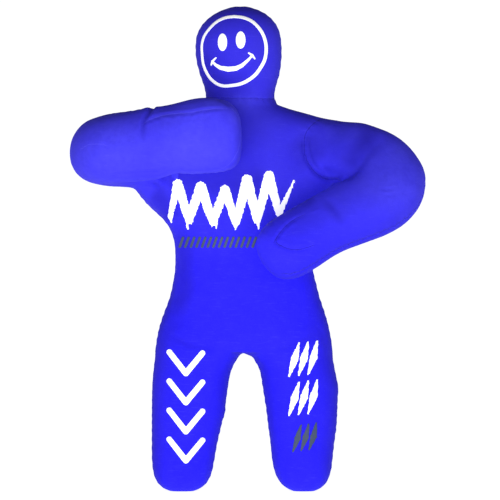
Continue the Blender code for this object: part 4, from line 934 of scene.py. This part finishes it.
class Nodes:
    """Short hand for building node trees."""

    def __init__(self, tree):
        self.tree = tree

    def add(self, kind, **values):
        node = self.tree.nodes.new(kind)
        for key, value in values.items():
            setattr(node, key, value)
        return node

    def link(self, a, b):
        self.tree.links.new(a, b)

    def put(self, socket, value):
        if hasattr(value, "node"):
            self.link(value, socket)
        else:
            socket.default_value = value

    def math(self, operation, a, b=0.0, c=0.0, clamp=False):
        node = self.add("ShaderNodeMath", operation=operation, use_clamp=clamp)
        for socket, value in zip(node.inputs, (a, b, c)):
            self.put(socket, value)
        return node.outputs[0]

    def attribute(self, name, output="Fac"):
        return self.add("ShaderNodeAttribute", attribute_name=name).outputs[output]

    def ramp(self, value, stops):
        node = self.add("ShaderNodeValToRGB")
        self.link(value, node.inputs["Fac"])
        ramp = node.color_ramp
        while len(ramp.elements) < len(stops):
            ramp.elements.new(0.5)
        for element, (place, colour) in zip(ramp.elements, stops):
            element.position = place
            element.color = (*colour, 1.0) if len(colour) == 3 else colour
        return node.outputs["Color"]

    def noise(self, vector, scale, detail=3.0, rough=0.5):
        node = self.add("ShaderNodeTexNoise")
        self.link(vector, node.inputs["Vector"])
        node.inputs["Scale"].default_value = scale
        node.inputs["Detail"].default_value = detail
        node.inputs["Roughness"].default_value = rough
        return node.outputs["Fac"]

    def mix(self, factor, a, b, blend="MIX"):
        node = self.add("ShaderNodeMix", data_type="RGBA", blend_type=blend)
        self.put(node.inputs["Factor"], factor)
        self.put(node.inputs["A"], a if hasattr(a, "node") else (*a, 1.0))
        self.put(node.inputs["B"], b if hasattr(b, "node") else (*b, 1.0))
        return node.outputs["Result"]

    def between(self, value, low, high, to_low=0.0, to_high=1.0):
        node = self.add("ShaderNodeMapRange", clamp=True)
        for key, number in (("From Min", low), ("From Max", high), ("To Min", to_low), ("To Max", to_high)):
            node.inputs[key].default_value = number
        self.link(value, node.inputs["Value"])
        return node.outputs["Result"]


# BLUE is the belly and legs; the second blue is painted shade, a dimmer, greyer blue for the upper body, arms and
# head, which get less light from the low lamps; BLUE_DARK serves dark seam lines and painted shade
BLUE = (0.0170, 0.0108, 0.870)
BLUE_UPPER_SHADED = (0.040, 0.031, 0.725)
BLUE_DARK = (0.015, 0.010, 0.400)
BLUE_PALE = (0.054, 0.044, 0.950)


def fabric():
    made, tree, shader = material("blue_stretch_fabric")
    n = Nodes(tree)
    rest_pos = n.attribute("rest_pos", "Vector")
    # colour: a heathered knit with broad uneven dye and dark seam lines; painted shade in folds and creases, on the
    # upper body and on turned-away sides, and painted highlights on the arms and along some seams
    broad = n.noise(rest_pos, 7.0, 3.0, 0.55)
    heather = n.noise(rest_pos, 420.0, 2.0, 0.6)
    height = n.add("ShaderNodeSeparateXYZ")
    n.link(rest_pos, height.inputs[0])
    # painted shade: above the waist the cloth turns to the dimmer, greyer blue
    upper_shade_blend = n.between(height.outputs[2], 0.56, 0.76)
    colour = n.mix(upper_shade_blend, BLUE, BLUE_UPPER_SHADED)
    colour = n.mix(n.math("MULTIPLY", n.between(broad, 0.32, 0.70), 0.35), colour, (0.027, 0.018, 0.890))
    colour = n.mix(n.math("MULTIPLY", n.between(heather, 0.45, 0.75), 0.22), colour, BLUE_PALE)
    seam_d, seam_s, near = n.attribute("seam_d"), n.attribute("seam_s"), n.attribute("seam_near")
    drawn, tone = n.attribute("seam_k"), n.attribute("seam_tone")
    apart = n.math("ABSOLUTE", seam_d)
    on_seam = n.math("MULTIPLY", n.between(apart, 0.05, 0.16, 1.0, 0.0), n.between(near, 0.35, 0.75))
    colour = n.mix(n.math("MULTIPLY", on_seam, n.math("MULTIPLY", tone, -0.70), clamp=True), colour, BLUE_DARK)
    # painted highlight: a pale line along the light and rim seams
    colour = n.mix(n.math("MULTIPLY", on_seam, n.math("MULTIPLY", tone, 0.55), clamp=True), colour, (0.15, 0.14, 0.98))
    # the twin needle stitches beside each seam
    step = n.math("FRACT", n.math("MULTIPLY", seam_s, 2.2))
    dash = n.math("MULTIPLY", n.math("GREATER_THAN", step, 0.28), n.between(n.math("ABSOLUTE", n.math("SUBTRACT", apart, 0.30)), 0.03, 0.07, 1.0, 0.0))
    dash = n.math("MULTIPLY", dash, n.math("MULTIPLY", n.between(near, 0.35, 0.75), n.between(drawn, 0.15, 0.9)))
    colour = n.mix(n.math("MULTIPLY", dash, 0.55), colour, (0.10, 0.09, 0.95))
    # painted highlight: a paler, mottled blue where the arms catch the light, over the neck and on upward edges
    mottled_highlight = n.math("MULTIPLY", n.attribute("painted_highlight"), n.between(n.noise(rest_pos, 60.0, 5.0, 0.65), 0.25, 0.62, 0.55, 1.0))
    colour = n.mix(n.math("MULTIPLY", mottled_highlight, 0.62), colour, (0.078, 0.070, 0.960))
    # uneven nap: darker patches where the pile lies the other way
    nap = n.between(n.noise(rest_pos, 24.0, 5.0, 0.62), 0.42, 0.66)
    colour = n.mix(n.math("MULTIPLY", nap, n.math("ADD", n.math("MULTIPLY", n.attribute("painted_highlight"), 0.13), 0.035)), colour, BLUE_DARK)
    streaks = n.add("ShaderNodeMapping")
    n.link(rest_pos, streaks.inputs["Vector"])
    streaks.inputs["Scale"].default_value = (38.0, 38.0, 260.0)
    streaks.inputs["Rotation"].default_value = (0.0, 0.45, 0.0)
    scratch = n.add("ShaderNodeTexNoise")
    n.link(streaks.outputs[0], scratch.inputs["Vector"])
    scratch.inputs["Scale"].default_value, scratch.inputs["Detail"].default_value = 1.0, 4.0
    colour = n.mix(n.math("MULTIPLY", n.between(scratch.outputs["Fac"], 0.58, 0.74), 0.09), colour, (0.14, 0.13, 0.98))
    # painted shade from the fold_shade attribute: folds and creases, under the arms, turned-away sides and arm
    # undersides
    painted_shade = n.attribute("fold_shade")
    colour = n.mix(n.math("MULTIPLY", painted_shade, 0.80), colour, BLUE_DARK)
    n.link(colour, shader.inputs["Base Color"])
    # roughness a little uneven
    n.link(n.between(n.noise(rest_pos, 34.0, 4.0, 0.6), 0.3, 0.7, 0.78, 0.94), shader.inputs["Roughness"])
    shader.inputs["Specular IOR Level"].default_value = 0.17
    shader.inputs["Sheen Weight"].default_value = 0.035
    shader.inputs["Sheen Roughness"].default_value = 0.42
    shader.inputs["Sheen Tint"].default_value = (0.36, 0.34, 1.0, 1.0)
    # bump: knit ribs, thread fuzz, seam valley, stitches, small puckers
    wave = n.add("ShaderNodeTexWave", wave_type="BANDS", bands_direction="X")
    n.link(rest_pos, wave.inputs["Vector"])
    wave.inputs["Scale"].default_value = 210.0
    wave.inputs["Distortion"].default_value = 1.2
    wave.inputs["Detail"].default_value = 1.0
    fuzz = n.noise(rest_pos, 900.0, 2.0, 0.7)
    weave = n.math("ADD", n.math("MULTIPLY", wave.outputs["Fac"], 0.55), n.math("MULTIPLY", fuzz, 0.45))
    bump_a = n.add("ShaderNodeBump")
    bump_a.inputs["Strength"].default_value = 0.30
    bump_a.inputs["Distance"].default_value = 0.0005
    n.link(weave, bump_a.inputs["Height"])
    crumple = n.noise(rest_pos, 46.0, 5.0, 0.62)
    bump_b = n.add("ShaderNodeBump")
    bump_b.inputs["Strength"].default_value = 0.45
    bump_b.inputs["Distance"].default_value = 0.0020
    n.link(crumple, bump_b.inputs["Height"])
    n.link(bump_a.outputs["Normal"], bump_b.inputs["Normal"])
    pucker_wave = n.math("SINE", n.math("ADD", n.math("MULTIPLY", seam_s, 5.2), n.math("MULTIPLY", n.noise(rest_pos, 30.0), 5.0)))
    pucker = n.math("MULTIPLY", pucker_wave, n.math("MULTIPLY", n.math("MULTIPLY", near, near), drawn))
    valley = n.math("MULTIPLY", n.between(apart, 0.0, 0.16, -1.0, 0.0), n.math("MULTIPLY", drawn, n.between(near, 0.35, 0.75)))
    stitched = n.math("ADD", n.math("MULTIPLY", dash, -0.5), n.math("ADD", n.math("MULTIPLY", pucker, 0.55), valley))
    bump_c = n.add("ShaderNodeBump")
    bump_c.inputs["Strength"].default_value = 0.7
    bump_c.inputs["Distance"].default_value = 0.0012
    n.link(stitched, bump_c.inputs["Height"])
    n.link(bump_b.outputs["Normal"], bump_c.inputs["Normal"])
    n.link(bump_c.outputs["Normal"], shader.inputs["Normal"])
    return made


def ink(name, colour, edge, glow=0.0):
    """Screen print that sits in the knit: slightly cracked and abraded at its rim; its glow, where given, is painted
    light.
    """
    made, tree, shader = material(name)
    n = Nodes(tree)
    spot = n.attribute("rest_pos", "Vector")
    crack = n.noise(spot, 160.0, 4.0, 0.65)
    blotch = n.noise(spot, 24.0, 3.0, 0.5)
    paint = n.mix(n.between(blotch, 0.35, 0.7), colour, edge)
    paint = n.mix(n.math("MULTIPLY", n.between(crack, 0.60, 0.72), 0.35), paint, tuple(c * 0.55 + 0.25 * b for c, b in zip(colour, BLUE)))
    n.link(paint, shader.inputs["Base Color"])
    n.link(n.between(crack, 0.3, 0.7, 0.42, 0.62), shader.inputs["Roughness"])
    shader.inputs["Specular IOR Level"].default_value = 0.35
    # the emission is painted light: the print glows a little so that it stays white where it turns from the lamps
    n.link(paint, shader.inputs["Emission Color"])
    shader.inputs["Emission Strength"].default_value = glow
    knit = n.add("ShaderNodeTexWave", wave_type="BANDS", bands_direction="X")
    n.link(spot, knit.inputs["Vector"])
    knit.inputs["Scale"].default_value = 210.0
    bump = n.add("ShaderNodeBump")
    bump.inputs["Strength"].default_value = 0.2
    bump.inputs["Distance"].default_value = 0.0004
    n.link(n.math("ADD", n.math("MULTIPLY", knit.outputs["Fac"], 0.5), crack), bump.inputs["Height"])
    n.link(bump.outputs["Normal"], shader.inputs["Normal"])
    return made


def woven_tape():
    made, tree, shader = material("zip_tape_weave")
    n = Nodes(tree)
    spot = n.attribute("rest_pos", "Vector")
    wave = n.add("ShaderNodeTexWave", wave_type="BANDS", bands_direction="Z")
    n.link(spot, wave.inputs["Vector"])
    wave.inputs["Scale"].default_value = 420.0
    colour = n.mix(n.math("MULTIPLY", wave.outputs["Fac"], 0.5), (0.022, 0.015, 0.42), (0.04, 0.03, 0.62))
    n.link(colour, shader.inputs["Base Color"])
    n.link(n.between(n.noise(spot, 300.0), 0.3, 0.7, 0.7, 0.85), shader.inputs["Roughness"])
    bump = n.add("ShaderNodeBump")
    bump.inputs["Strength"].default_value = 0.4
    bump.inputs["Distance"].default_value = 0.0004
    n.link(wave.outputs["Fac"], bump.inputs["Height"])
    n.link(bump.outputs["Normal"], shader.inputs["Normal"])
    return made


def moulded(name, colour, metallic, low, high):
    made, tree, shader = material(name)
    n = Nodes(tree)
    spot = n.add("ShaderNodeTexCoord").outputs["Object"]
    scuff = n.noise(spot, 380.0, 4.0, 0.6)
    n.link(n.mix(n.between(scuff, 0.4, 0.75), colour, tuple(min(1.0, c * 1.9 + 0.03) for c in colour)), shader.inputs["Base Color"])
    n.link(n.between(scuff, 0.3, 0.7, low, high), shader.inputs["Roughness"])
    shader.inputs["Metallic"].default_value = metallic
    bump = n.add("ShaderNodeBump")
    bump.inputs["Strength"].default_value = 0.15
    bump.inputs["Distance"].default_value = 0.0003
    n.link(scuff, bump.inputs["Height"])
    n.link(bump.outputs["Normal"], shader.inputs["Normal"])
    return made


cloth_blue = fabric()
# the white ink glows a little, a painted light
white_ink = ink("white_print_ink", (0.90, 0.90, 0.92), (0.96, 0.96, 0.97), glow=0.36)
grey_ink = ink("grey_print_ink", (0.036, 0.060, 0.120), (0.050, 0.075, 0.140))
tape_cloth = woven_tape()
teeth_black = moulded("zip_teeth_nylon", (0.020, 0.020, 0.030), 0.0, 0.35, 0.55)
zip_metal = moulded("zip_slider_enamel", (0.030, 0.030, 0.036), 0.75, 0.30, 0.50)

# ================================================================ skin pieces take the blue fabric and stay in place; the CAD parts under them are hidden
both = {
    "body": ("pelvis", "chest", (MID_X, Y_SHIFT, 0.520), (MID_X, Y_SHIFT, 0.652),
             ["pelvis_stuffing", "pelvis_front_panel", "pelvis_back_panel", "chest_stuffing", "chest_front_panel",
              "chest_back_right_panel", "chest_back_left_panel"]),
    "head": ("chest", "head", (NECK_X, Y_SHIFT, NECK_LOW), (NECK_X, Y_SHIFT, NECK_TOP),
             ["head_stuffing", "head_front_panel", "head_back_panel"]),
    "right_shoulder": ("chest", "right_upper_arm", tuple(SH_R0), tuple(SH_R1),
                       ["right_upper_arm_stuffing", "right_upper_arm_outer_panel", "right_upper_arm_inner_panel"]),
    "right_arm": ("right_upper_arm", "right_forearm", (-0.3, -0.0110, 0.8585), (-0.3, -0.0335, 0.8585),
                  ["right_elbow_stuffing", "right_forearm_stuffing", "right_forearm_outer_panel", "right_forearm_inner_panel"]),
    "left_shoulder": ("chest", "left_upper_arm", tuple(SH_L0), tuple(SH_L1),
                      ["left_upper_arm_stuffing", "left_upper_arm_outer_panel", "left_upper_arm_inner_panel"]),
    "left_arm": ("left_upper_arm", "left_forearm", tuple(crease_l + 0.003 * down_l), tuple(crease_l + 0.060 * down_l),
                 ["left_elbow_stuffing", "left_forearm_stuffing", "left_forearm_outer_panel", "left_forearm_inner_panel"]),
    "right_hip": ("pelvis", "right_thigh", tuple(crotch), tuple(crotch + 0.106 * hip_dir_r),
                  ["right_thigh_stuffing", "right_thigh_front_panel", "right_thigh_back_panel"]),
    "left_hip": ("pelvis", "left_thigh", tuple(crotch), tuple(crotch + 0.106 * hip_dir_l),
                 ["left_thigh_stuffing", "left_thigh_front_panel", "left_thigh_back_panel"]),
    "right_lower_leg": ("right_thigh", "right_lower_leg", (0, Y_SHIFT, 0.236), (0, Y_SHIFT, 0.108),
                        ["right_lower_leg_stuffing", "right_lower_leg_front_panel", "right_lower_leg_back_panel"]),
    "left_lower_leg": ("left_thigh", "left_lower_leg", (0, Y_SHIFT, 0.236), (0, Y_SHIFT, 0.108),
                       ["left_lower_leg_stuffing", "left_lower_leg_front_panel", "left_lower_leg_back_panel"]),
}
for name, piece in parted.items():
    a, b, start, end, nodes = both[name]
    piece.data.materials.clear()
    piece.data.materials.append(cloth_blue)
    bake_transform(piece)
    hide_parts(*nodes)


# ================================================================ prints
def dropped(name_of_skin, x, z, lift, back=False):
    """The point of the named skin in front of (x, z), raised by lift, and whether it was hit."""
    way = Vector((0, -1, 0)) if back else Vector((0, 1, 0))
    start = Vector((x, 0.6 if back else -0.6, z))
    for skin_name in name_of_skin:
        spot, normal, _, _ = trees[skin_name].ray_cast(start, way)
        if spot is not None:
            return np.array(spot) + np.array(normal) * lift, True
    return None, False


def finish_print(name, bm, mat):
    loose = [v for v in bm.verts if not v.link_faces]
    bmesh.ops.delete(bm, geom=loose, context="VERTS")
    bmesh.ops.recalc_face_normals(bm, faces=bm.faces)
    if sum(f.normal.y for f in bm.faces) > 0:
        bmesh.ops.reverse_faces(bm, faces=bm.faces)
    mesh = bpy.data.meshes.new(name)
    bm.to_mesh(mesh)
    bm.free()
    mesh.shade_smooth()
    store(mesh, "rest_pos", coords(mesh), "FLOAT_VECTOR")
    mesh.materials.append(mat)
    made = new_object(name, mesh)
    thick = made.modifiers.new("ink", "SOLIDIFY")
    thick.thickness, thick.offset = 0.0005, -1.0
    done = baked(made)
    bpy.data.objects.remove(made, do_unlink=True)
    return new_object(name, done)


def from_px(spots):
    return [np.array(at_px(*s)) for s in spots]


def strokes(lines):
    """Distance to a set of strokes, each a polyline with a width at every corner: negative inside."""
    parts = []
    for spots, widths in lines:
        corners = from_px(spots)
        for k in range(len(corners) - 1):
            parts.append((corners[k], corners[k + 1], widths[k % len(widths)] / 2 * PX, widths[(k + 1) % len(widths)] / 2 * PX))

    def distance(p):
        best = np.full(len(p), 9.0)
        for a, b, ra, rb in parts:
            d = b - a
            w = np.clip(((p - a) @ d) / max(d @ d, 1e-12), 0, 1)
            best = np.minimum(best, np.linalg.norm(p - a - w[:, None] * d, axis=1) - (ra + (rb - ra) * w))
        return best

    return distance


def ovals(list_of):
    def distance(p):
        best = np.full(len(p), 9.0)
        for px, py, rx, ry in list_of:
            c = np.array(at_px(px, py))
            q = (p - c) / (np.array((rx, ry)) * PX)
            k = np.linalg.norm(q, axis=1)
            best = np.minimum(best, (k - 1) * min(rx, ry) * PX)
        return best

    return distance


def ragged(distance, size, seed):
    """The same shape with a brushed, torn edge."""
    def torn(p):
        x, z = p[:, 0] * 1000, p[:, 1] * 1000
        noise = (np.sin(x * 0.9 + seed + 2.0 * np.sin(z * 0.23)) * 0.45 + np.sin(z * 0.31 + x * 0.45 + 2.3 * seed) * 0.35
                 + np.sin(x * 2.1 - z * 0.7 + 4.1 * seed) * 0.30)
        return distance(p) + noise * size

    return torn


def printed(name, skins, distance, box, mat, step=0.0013, lift=0.0008):
    """A print of the shape given by a distance, cut from a fine sheet lying on the skin."""
    (x0, z1), (x1, z0) = at_px(box[0], box[1]), at_px(box[2], box[3])
    nx, nz = int((x1 - x0) / step) + 1, int((z1 - z0) / step) + 1
    xs, zs = x0 + np.arange(nx + 1) * step, z0 + np.arange(nz + 1) * step
    cx, cz = np.meshgrid(xs[:-1] + step / 2, zs[:-1] + step / 2)
    inside = (distance(np.stack([cx.ravel(), cz.ravel()], 1)) < 0).reshape(nz, nx)
    corner = {}
    quads = []
    for j, i in zip(*np.nonzero(inside)):
        quad = ((i, j), (i + 1, j), (i + 1, j + 1), (i, j + 1))
        quads.append(quad)
        for q in quad:
            corner[q] = corner.get(q, 0) + 1
    keys = list(corner)
    p = np.array([(xs[i], zs[j]) for i, j in keys])
    rim = np.array([corner[k] < 4 for k in keys])
    for _ in range(3):
        d = distance(p)
        e = 2e-5
        gx = (distance(p + (e, 0)) - distance(p - (e, 0))) / (2 * e)
        gz = (distance(p + (0, e)) - distance(p - (0, e))) / (2 * e)
        size = np.maximum(gx * gx + gz * gz, 0.25)
        move = np.stack([gx, gz], 1) * (d / size)[:, None]
        long = np.linalg.norm(move, axis=1, keepdims=True)
        move *= np.minimum(1.0, 0.6 * step / np.maximum(long, 1e-12))
        p = np.where(rim[:, None], p - move, p)
    bm = bmesh.new()
    verts = {}
    for key, spot in zip(keys, p):
        on, hit = dropped(skins, spot[0], spot[1], lift)
        if hit:
            verts[key] = bm.verts.new(on)
    for quad in quads:
        if all(q in verts for q in quad):
            bm.faces.new([verts[q] for q in quad])
    return finish_print(name, bm, mat)


prints = []
# the face: a plain ring, two oval eyes and a curved mouth
RING = [(234, 16.8), (242.8, 17.8), (251.2, 21.2), (257.9, 27.2), (262.7, 34.4), (265.6, 43.2), (266, 52), (264.4, 60.4), (260.5, 67.8),
        (255.4, 74.7), (248.5, 80.2), (240.5, 84), (232, 85.6), (223.6, 86), (216.6, 83.6), (210.2, 78), (206.2, 71.5), (203.3, 63.5),
        (202.2, 54), (202, 45), (204.4, 36.2), (210.3, 28), (217.4, 21.6), (225.7, 17.9), (234, 16.8)]
ring_line = [((x / PX + 247.0), 491.5 - z / PX) for x, z in front_curve(RING, 0.004)]
ring_turn = [math.atan2(py - 51, px - 234) for px, py in ring_line]
ring_wide = [2.76 + 0.48 * math.cos(a) + 0.14 * math.sin(a) + 0.28 * math.sin(a) ** 2 for a in ring_turn]
prints.append((printed("face_ring_print_ink", ["head"], strokes([(ring_line, ring_wide)]), (196, 11, 272, 91), white_ink, step=0.0015), "head", "face_ring_print"))
MOUTH = [(212.6, 62), (216, 65.3), (220.5, 68), (228, 69.5), (236, 68.8), (242, 65.8), (248, 60.5), (252.3, 55.8)]
mouth = strokes([(MOUTH, [1.9, 2.9, 3.9, 4.9, 4.5, 3.7, 2.7, 1.9]), ([(211.4, 65), (212.5, 61.5), (216, 58.2)], [1.5, 2.3, 1.5]),
                 ([(248.6, 53.4), (252.2, 55.6), (254.7, 59)], [1.5, 2.3, 1.5])])
prints.append((printed("face_mouth_print_ink", ["head"], mouth, (208, 50, 258, 76), white_ink), "head", "face_smile_print"))
prints.append((printed("face_right_eye_print_ink", ["head"], ovals([(222.6, 42.7, 4.6, 8.7)]), (215, 31, 230, 54), white_ink), "head", "face_right_eye_print"))
prints.append((printed("face_left_eye_print_ink", ["head"], ovals([(240.7, 40.5, 4.8, 8.6)]), (233, 29, 248, 52), white_ink), "head", "face_left_eye_print"))
# the chest: one jagged brush stroke with runs of paint, and a row of slanting ticks under it
ZIGZAG = [(170, 217), (178, 184), (189, 220), (201, 187), (213, 222), (225, 190), (236, 223), (247, 180), (257, 220), (269, 176), (279, 214), (294, 181)]
ZIG_WIDE = [4, 9.5, 7.5, 10.5, 7.5, 9.5, 7.5, 10.5, 7.5, 10, 6.5, 1.5]
runs = [([(px, py), (px + 0.4, py + long)], [4.2, 1.1]) for px, py, long in
        ((171, 216, 6), (187.5, 220, 9), (191.5, 219, 5), (212, 222, 5), (216, 219, 9), (235, 223, 7), (258, 220, 9), (254.5, 218, 5), (280, 214, 7))]
prints.append((printed("chest_zigzag_print_ink", ["body"], ragged(strokes([(ZIGZAG, ZIG_WIDE)] + runs), 0.0015, 2.0), (160, 164, 300, 234), white_ink,
                       step=0.0014, lift=0.0009), "chest", "chest_zigzag_print"))
ticks = [([(px + 1.6, 237.8), (px - 1.6, 246.6)], [2.6, 2.6]) for px in np.arange(181.5, 266, 5.6)]
prints.append((printed("chest_stripe_print_ink", ["body"], strokes(ticks), (176, 233, 268, 251), grey_ink), "waist", "chest_stripe_print"))
# the legs: rounded chevrons one above another on the right, clawed strokes on the left, none of them a letter
for number, (top, skins, joint) in enumerate(((352, ["right_hip", "body"], "right_hip"), (381, ["right_hip", "right_lower_leg"], "right_hip"),
                                              (410, ["right_lower_leg", "right_hip"], "right_knee"), (439, ["right_lower_leg"], "right_knee")), 1):
    chevron = strokes([([(169.5, top), (186, top + 21), (202.5, top + 1)], [5.6, 5.9, 5.6])])
    prints.append((printed(f"right_leg_mark_{number}_ink", skins, chevron, (163, top - 5, 209, top + 28), white_ink), joint, None))
for number, (top, skins, joint) in enumerate(((341, ["left_hip", "body"], "left_hip"), (380, ["left_hip", "left_lower_leg"], "left_hip")), 1):
    claws = [([(289 + 9.5 * k, top + 35 - k), (294.5 + 9.5 * k, top + 18 - k), (299 + 9.0 * k, top + 2 - k)], [1.5, 7.6, 1.6]) for k in range(3)]
    prints.append((printed(f"left_leg_mark_{number}_ink", skins, ragged(strokes(claws), 0.0009, 1.0 + number), (282, top - 5, 325, top + 42), white_ink), joint, None))
grey_claws = [([(293 + 8.0 * k, 451 - k), (297.5 + 8.0 * k, 438 - k), (301 + 7.5 * k, 425 - k)], [1.6, 6.4, 1.8]) for k in range(3)]
prints.append((printed("left_leg_grey_mark_ink", ["left_lower_leg"], ragged(strokes(grey_claws), 0.0007, 4.0), (287, 419, 324, 456), grey_ink), "left_knee", None))
cross = {"waist": both["body"], "right_hip": both["right_hip"], "left_hip": both["left_hip"],
         "right_knee": both["right_lower_leg"], "left_knee": both["left_lower_leg"]}
for piece, rides, stands_for in prints:
    if rides in cross:
        a, b, start, end, _ = cross[rides]
        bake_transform(piece)
    else:
        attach(piece, rides)
    if stands_for:
        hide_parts(stands_for)
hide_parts("right_thigh_print")
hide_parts("right_lower_leg_print")
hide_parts("left_thigh_print")
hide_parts("left_lower_leg_print")

# ================================================================ the back zip
surface = BACK_Y + Y_SHIFT + 0.0002
ZIP_TOP, ZIP_BOTTOM = 0.856, 0.625


def tape_strip(name, way):
    bm = bmesh.new()
    rows = []
    for z in np.linspace(ZIP_BOTTOM - 0.006, ZIP_TOP + 0.006, 90):
        row = []
        for k, x in enumerate((0.0022, 0.0050, 0.0085, 0.0120, 0.0150)):
            lift = (0.0011, 0.0010, 0.0008, 0.0006, 0.0003)[k]
            row.append(bm.verts.new((MID_X + way * x, surface + lift, z)))
        rows.append(row)
    for one, two in zip(rows, rows[1:]):
        for c in range(4):
            bm.faces.new((one[c], one[c + 1], two[c + 1], two[c]))
    bmesh.ops.recalc_face_normals(bm, faces=bm.faces)
    if sum(f.normal.y for f in bm.faces) < 0:
        bmesh.ops.reverse_faces(bm, faces=bm.faces)
    mesh = bpy.data.meshes.new(name)
    bm.to_mesh(mesh)
    bm.free()
    store(mesh, "rest_pos", coords(mesh), "FLOAT_VECTOR")
    mesh.materials.append(tape_cloth)
    made = new_object(name, mesh)
    thick = made.modifiers.new("tape", "SOLIDIFY")
    thick.thickness, thick.offset = 0.0009, -1.0
    done = baked(made)
    bpy.data.objects.remove(made, do_unlink=True)
    return new_object(name, done)


def teeth_strip(name, way):
    """A nylon coil's teeth: small rounded blocks, out of step with those opposite."""
    bm = bmesh.new()
    pitch = 0.0030
    z = ZIP_BOTTOM + 0.004 + (pitch / 2 if way > 0 else 0)
    while z < ZIP_TOP - 0.004:
        lo = (MID_X + way * 0.0030, surface + 0.0002, z - 0.0010)
        hi = (MID_X - way * 0.0007, surface + 0.0021, z + 0.0010)
        grown = bmesh.ops.create_cube(bm, size=1.0)["verts"]
        for v in grown:
            v.co = Vector([(lo[k] + hi[k]) / 2 + v.co[k] * abs(hi[k] - lo[k]) for k in range(3)])
        z += pitch
    bmesh.ops.bevel(bm, geom=list(bm.edges), offset=0.0004, segments=1, affect="EDGES")
    mesh = bpy.data.meshes.new(name)
    bm.to_mesh(mesh)
    bm.free()
    mesh.shade_smooth()
    mesh.set_sharp_from_angle(angle=math.radians(45))
    mesh.materials.append(teeth_black)
    return new_object(name, mesh)


for side_name, way in (("right", -1), ("left", 1)):
    strip = tape_strip(f"zip_{side_name}_tape_cloth", way)
    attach(strip, "chest")
    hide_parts(f"zip_{side_name}_tape")
    row = teeth_strip(f"zip_{side_name}_coil", way)
    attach(row, "chest")
    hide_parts(f"zip_{side_name}_teeth")
for node in ("zip_slider", "zip_slider_bridge", "zip_pull_tab", "zip_top_stop", "zip_bottom_stop"):
    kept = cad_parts[node]
    kept.data.materials.clear()
    kept.data.materials.append(zip_metal)

# ================================================================ floor, light, camera
def sheet_of(name, corners, mat, across=12, along=12):
    """A gently divided sheet between four corners."""
    a, b, c, d = [np.array(p, float) for p in corners]
    bm = bmesh.new()
    rows = []
    for j in range(along + 1):
        v = j / along
        rows.append([bm.verts.new((a * (1 - v) + d * v) * (1 - i / across) + (b * (1 - v) + c * v) * (i / across)) for i in range(across + 1)])
    for one, two in zip(rows, rows[1:]):
        for i in range(across):
            bm.faces.new((one[i], one[i + 1], two[i + 1], two[i]))
    mesh = bpy.data.meshes.new(name)
    bm.to_mesh(mesh)
    bm.free()
    mesh.shade_smooth()
    mesh.materials.append(mat)
    made = new_object(name, mesh)
    made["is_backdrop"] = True
    return made


def paper(name, strength):
    made, tree, shader = material(name)
    n = Nodes(tree)
    grain = n.noise(n.add("ShaderNodeTexCoord").outputs["Object"], 3.0, 2.0)
    n.link(n.mix(grain, (0.86, 0.86, 0.87), (0.90, 0.90, 0.90)), shader.inputs["Base Color"])
    shader.inputs["Roughness"].default_value = 0.9
    shader.inputs["Specular IOR Level"].default_value = 0.1
    shader.inputs["Emission Color"].default_value = (1, 1, 1, 1)
    shader.inputs["Emission Strength"].default_value = strength
    return made


sheet_of("studio_floor", [(-18, -14, -0.0004), (18, -14, -0.0004), (18, 22, -0.0004), (-18, 22, -0.0004)], paper("studio_floor_paper", 0.88), 24, 24)


def lamp(name, spot, aim, width, height, power, colour=(1, 1, 1)):
    data = bpy.data.lights.new(name, "AREA")
    data.shape, data.size, data.size_y = "RECTANGLE", width, height
    data.energy, data.color = power, colour
    made = bpy.data.objects.new(name, data)
    made.location = spot
    made.rotation_euler = (Vector(aim) - Vector(spot)).to_track_quat("-Z", "Y").to_euler()
    SCENE.collection.objects.link(made)
    return made


lamp("key_low_front", (-0.35, -1.70, 0.62), (-0.05, 0.0, 0.68), 1.0, 0.9, 14.0)
lamp("fill_low_right", (1.0, -1.7, 0.45), (0.15, 0.0, 0.55), 0.8, 0.8, 4.2)
world = bpy.data.worlds.new("studio")
world.use_nodes = True
# a white band round the horizon, dim overhead
sky = Nodes(world.node_tree)
direction = sky.add("ShaderNodeSeparateXYZ")
sky.link(sky.add("ShaderNodeTexCoord").outputs["Generated"], direction.inputs[0])
band = sky.between(direction.outputs[2], 0.05, 0.15, 1.05, 0.18)
world.node_tree.nodes["Background"].inputs["Color"].default_value = (1, 1, 1, 1)
sky.link(band, world.node_tree.nodes["Background"].inputs["Strength"])
SCENE.world = world

camera_data = bpy.data.cameras.new("camera")
camera_data.sensor_width = 36.0
DISTANCE = 16.0
camera_data.lens = 36.0 * DISTANCE / (500 * PX)
camera_data.clip_end = 60.0
camera = bpy.data.objects.new("camera", camera_data)
SCENE.collection.objects.link(camera)
cx, cz = at_px(250, 250)
camera.location = (cx, -DISTANCE + 0.02, cz)
camera.rotation_euler = (math.radians(90), 0, 0)
SCENE.camera = camera
SCENE.view_settings.view_transform = "Standard"
SCENE.view_settings.look = "None"

low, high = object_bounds()
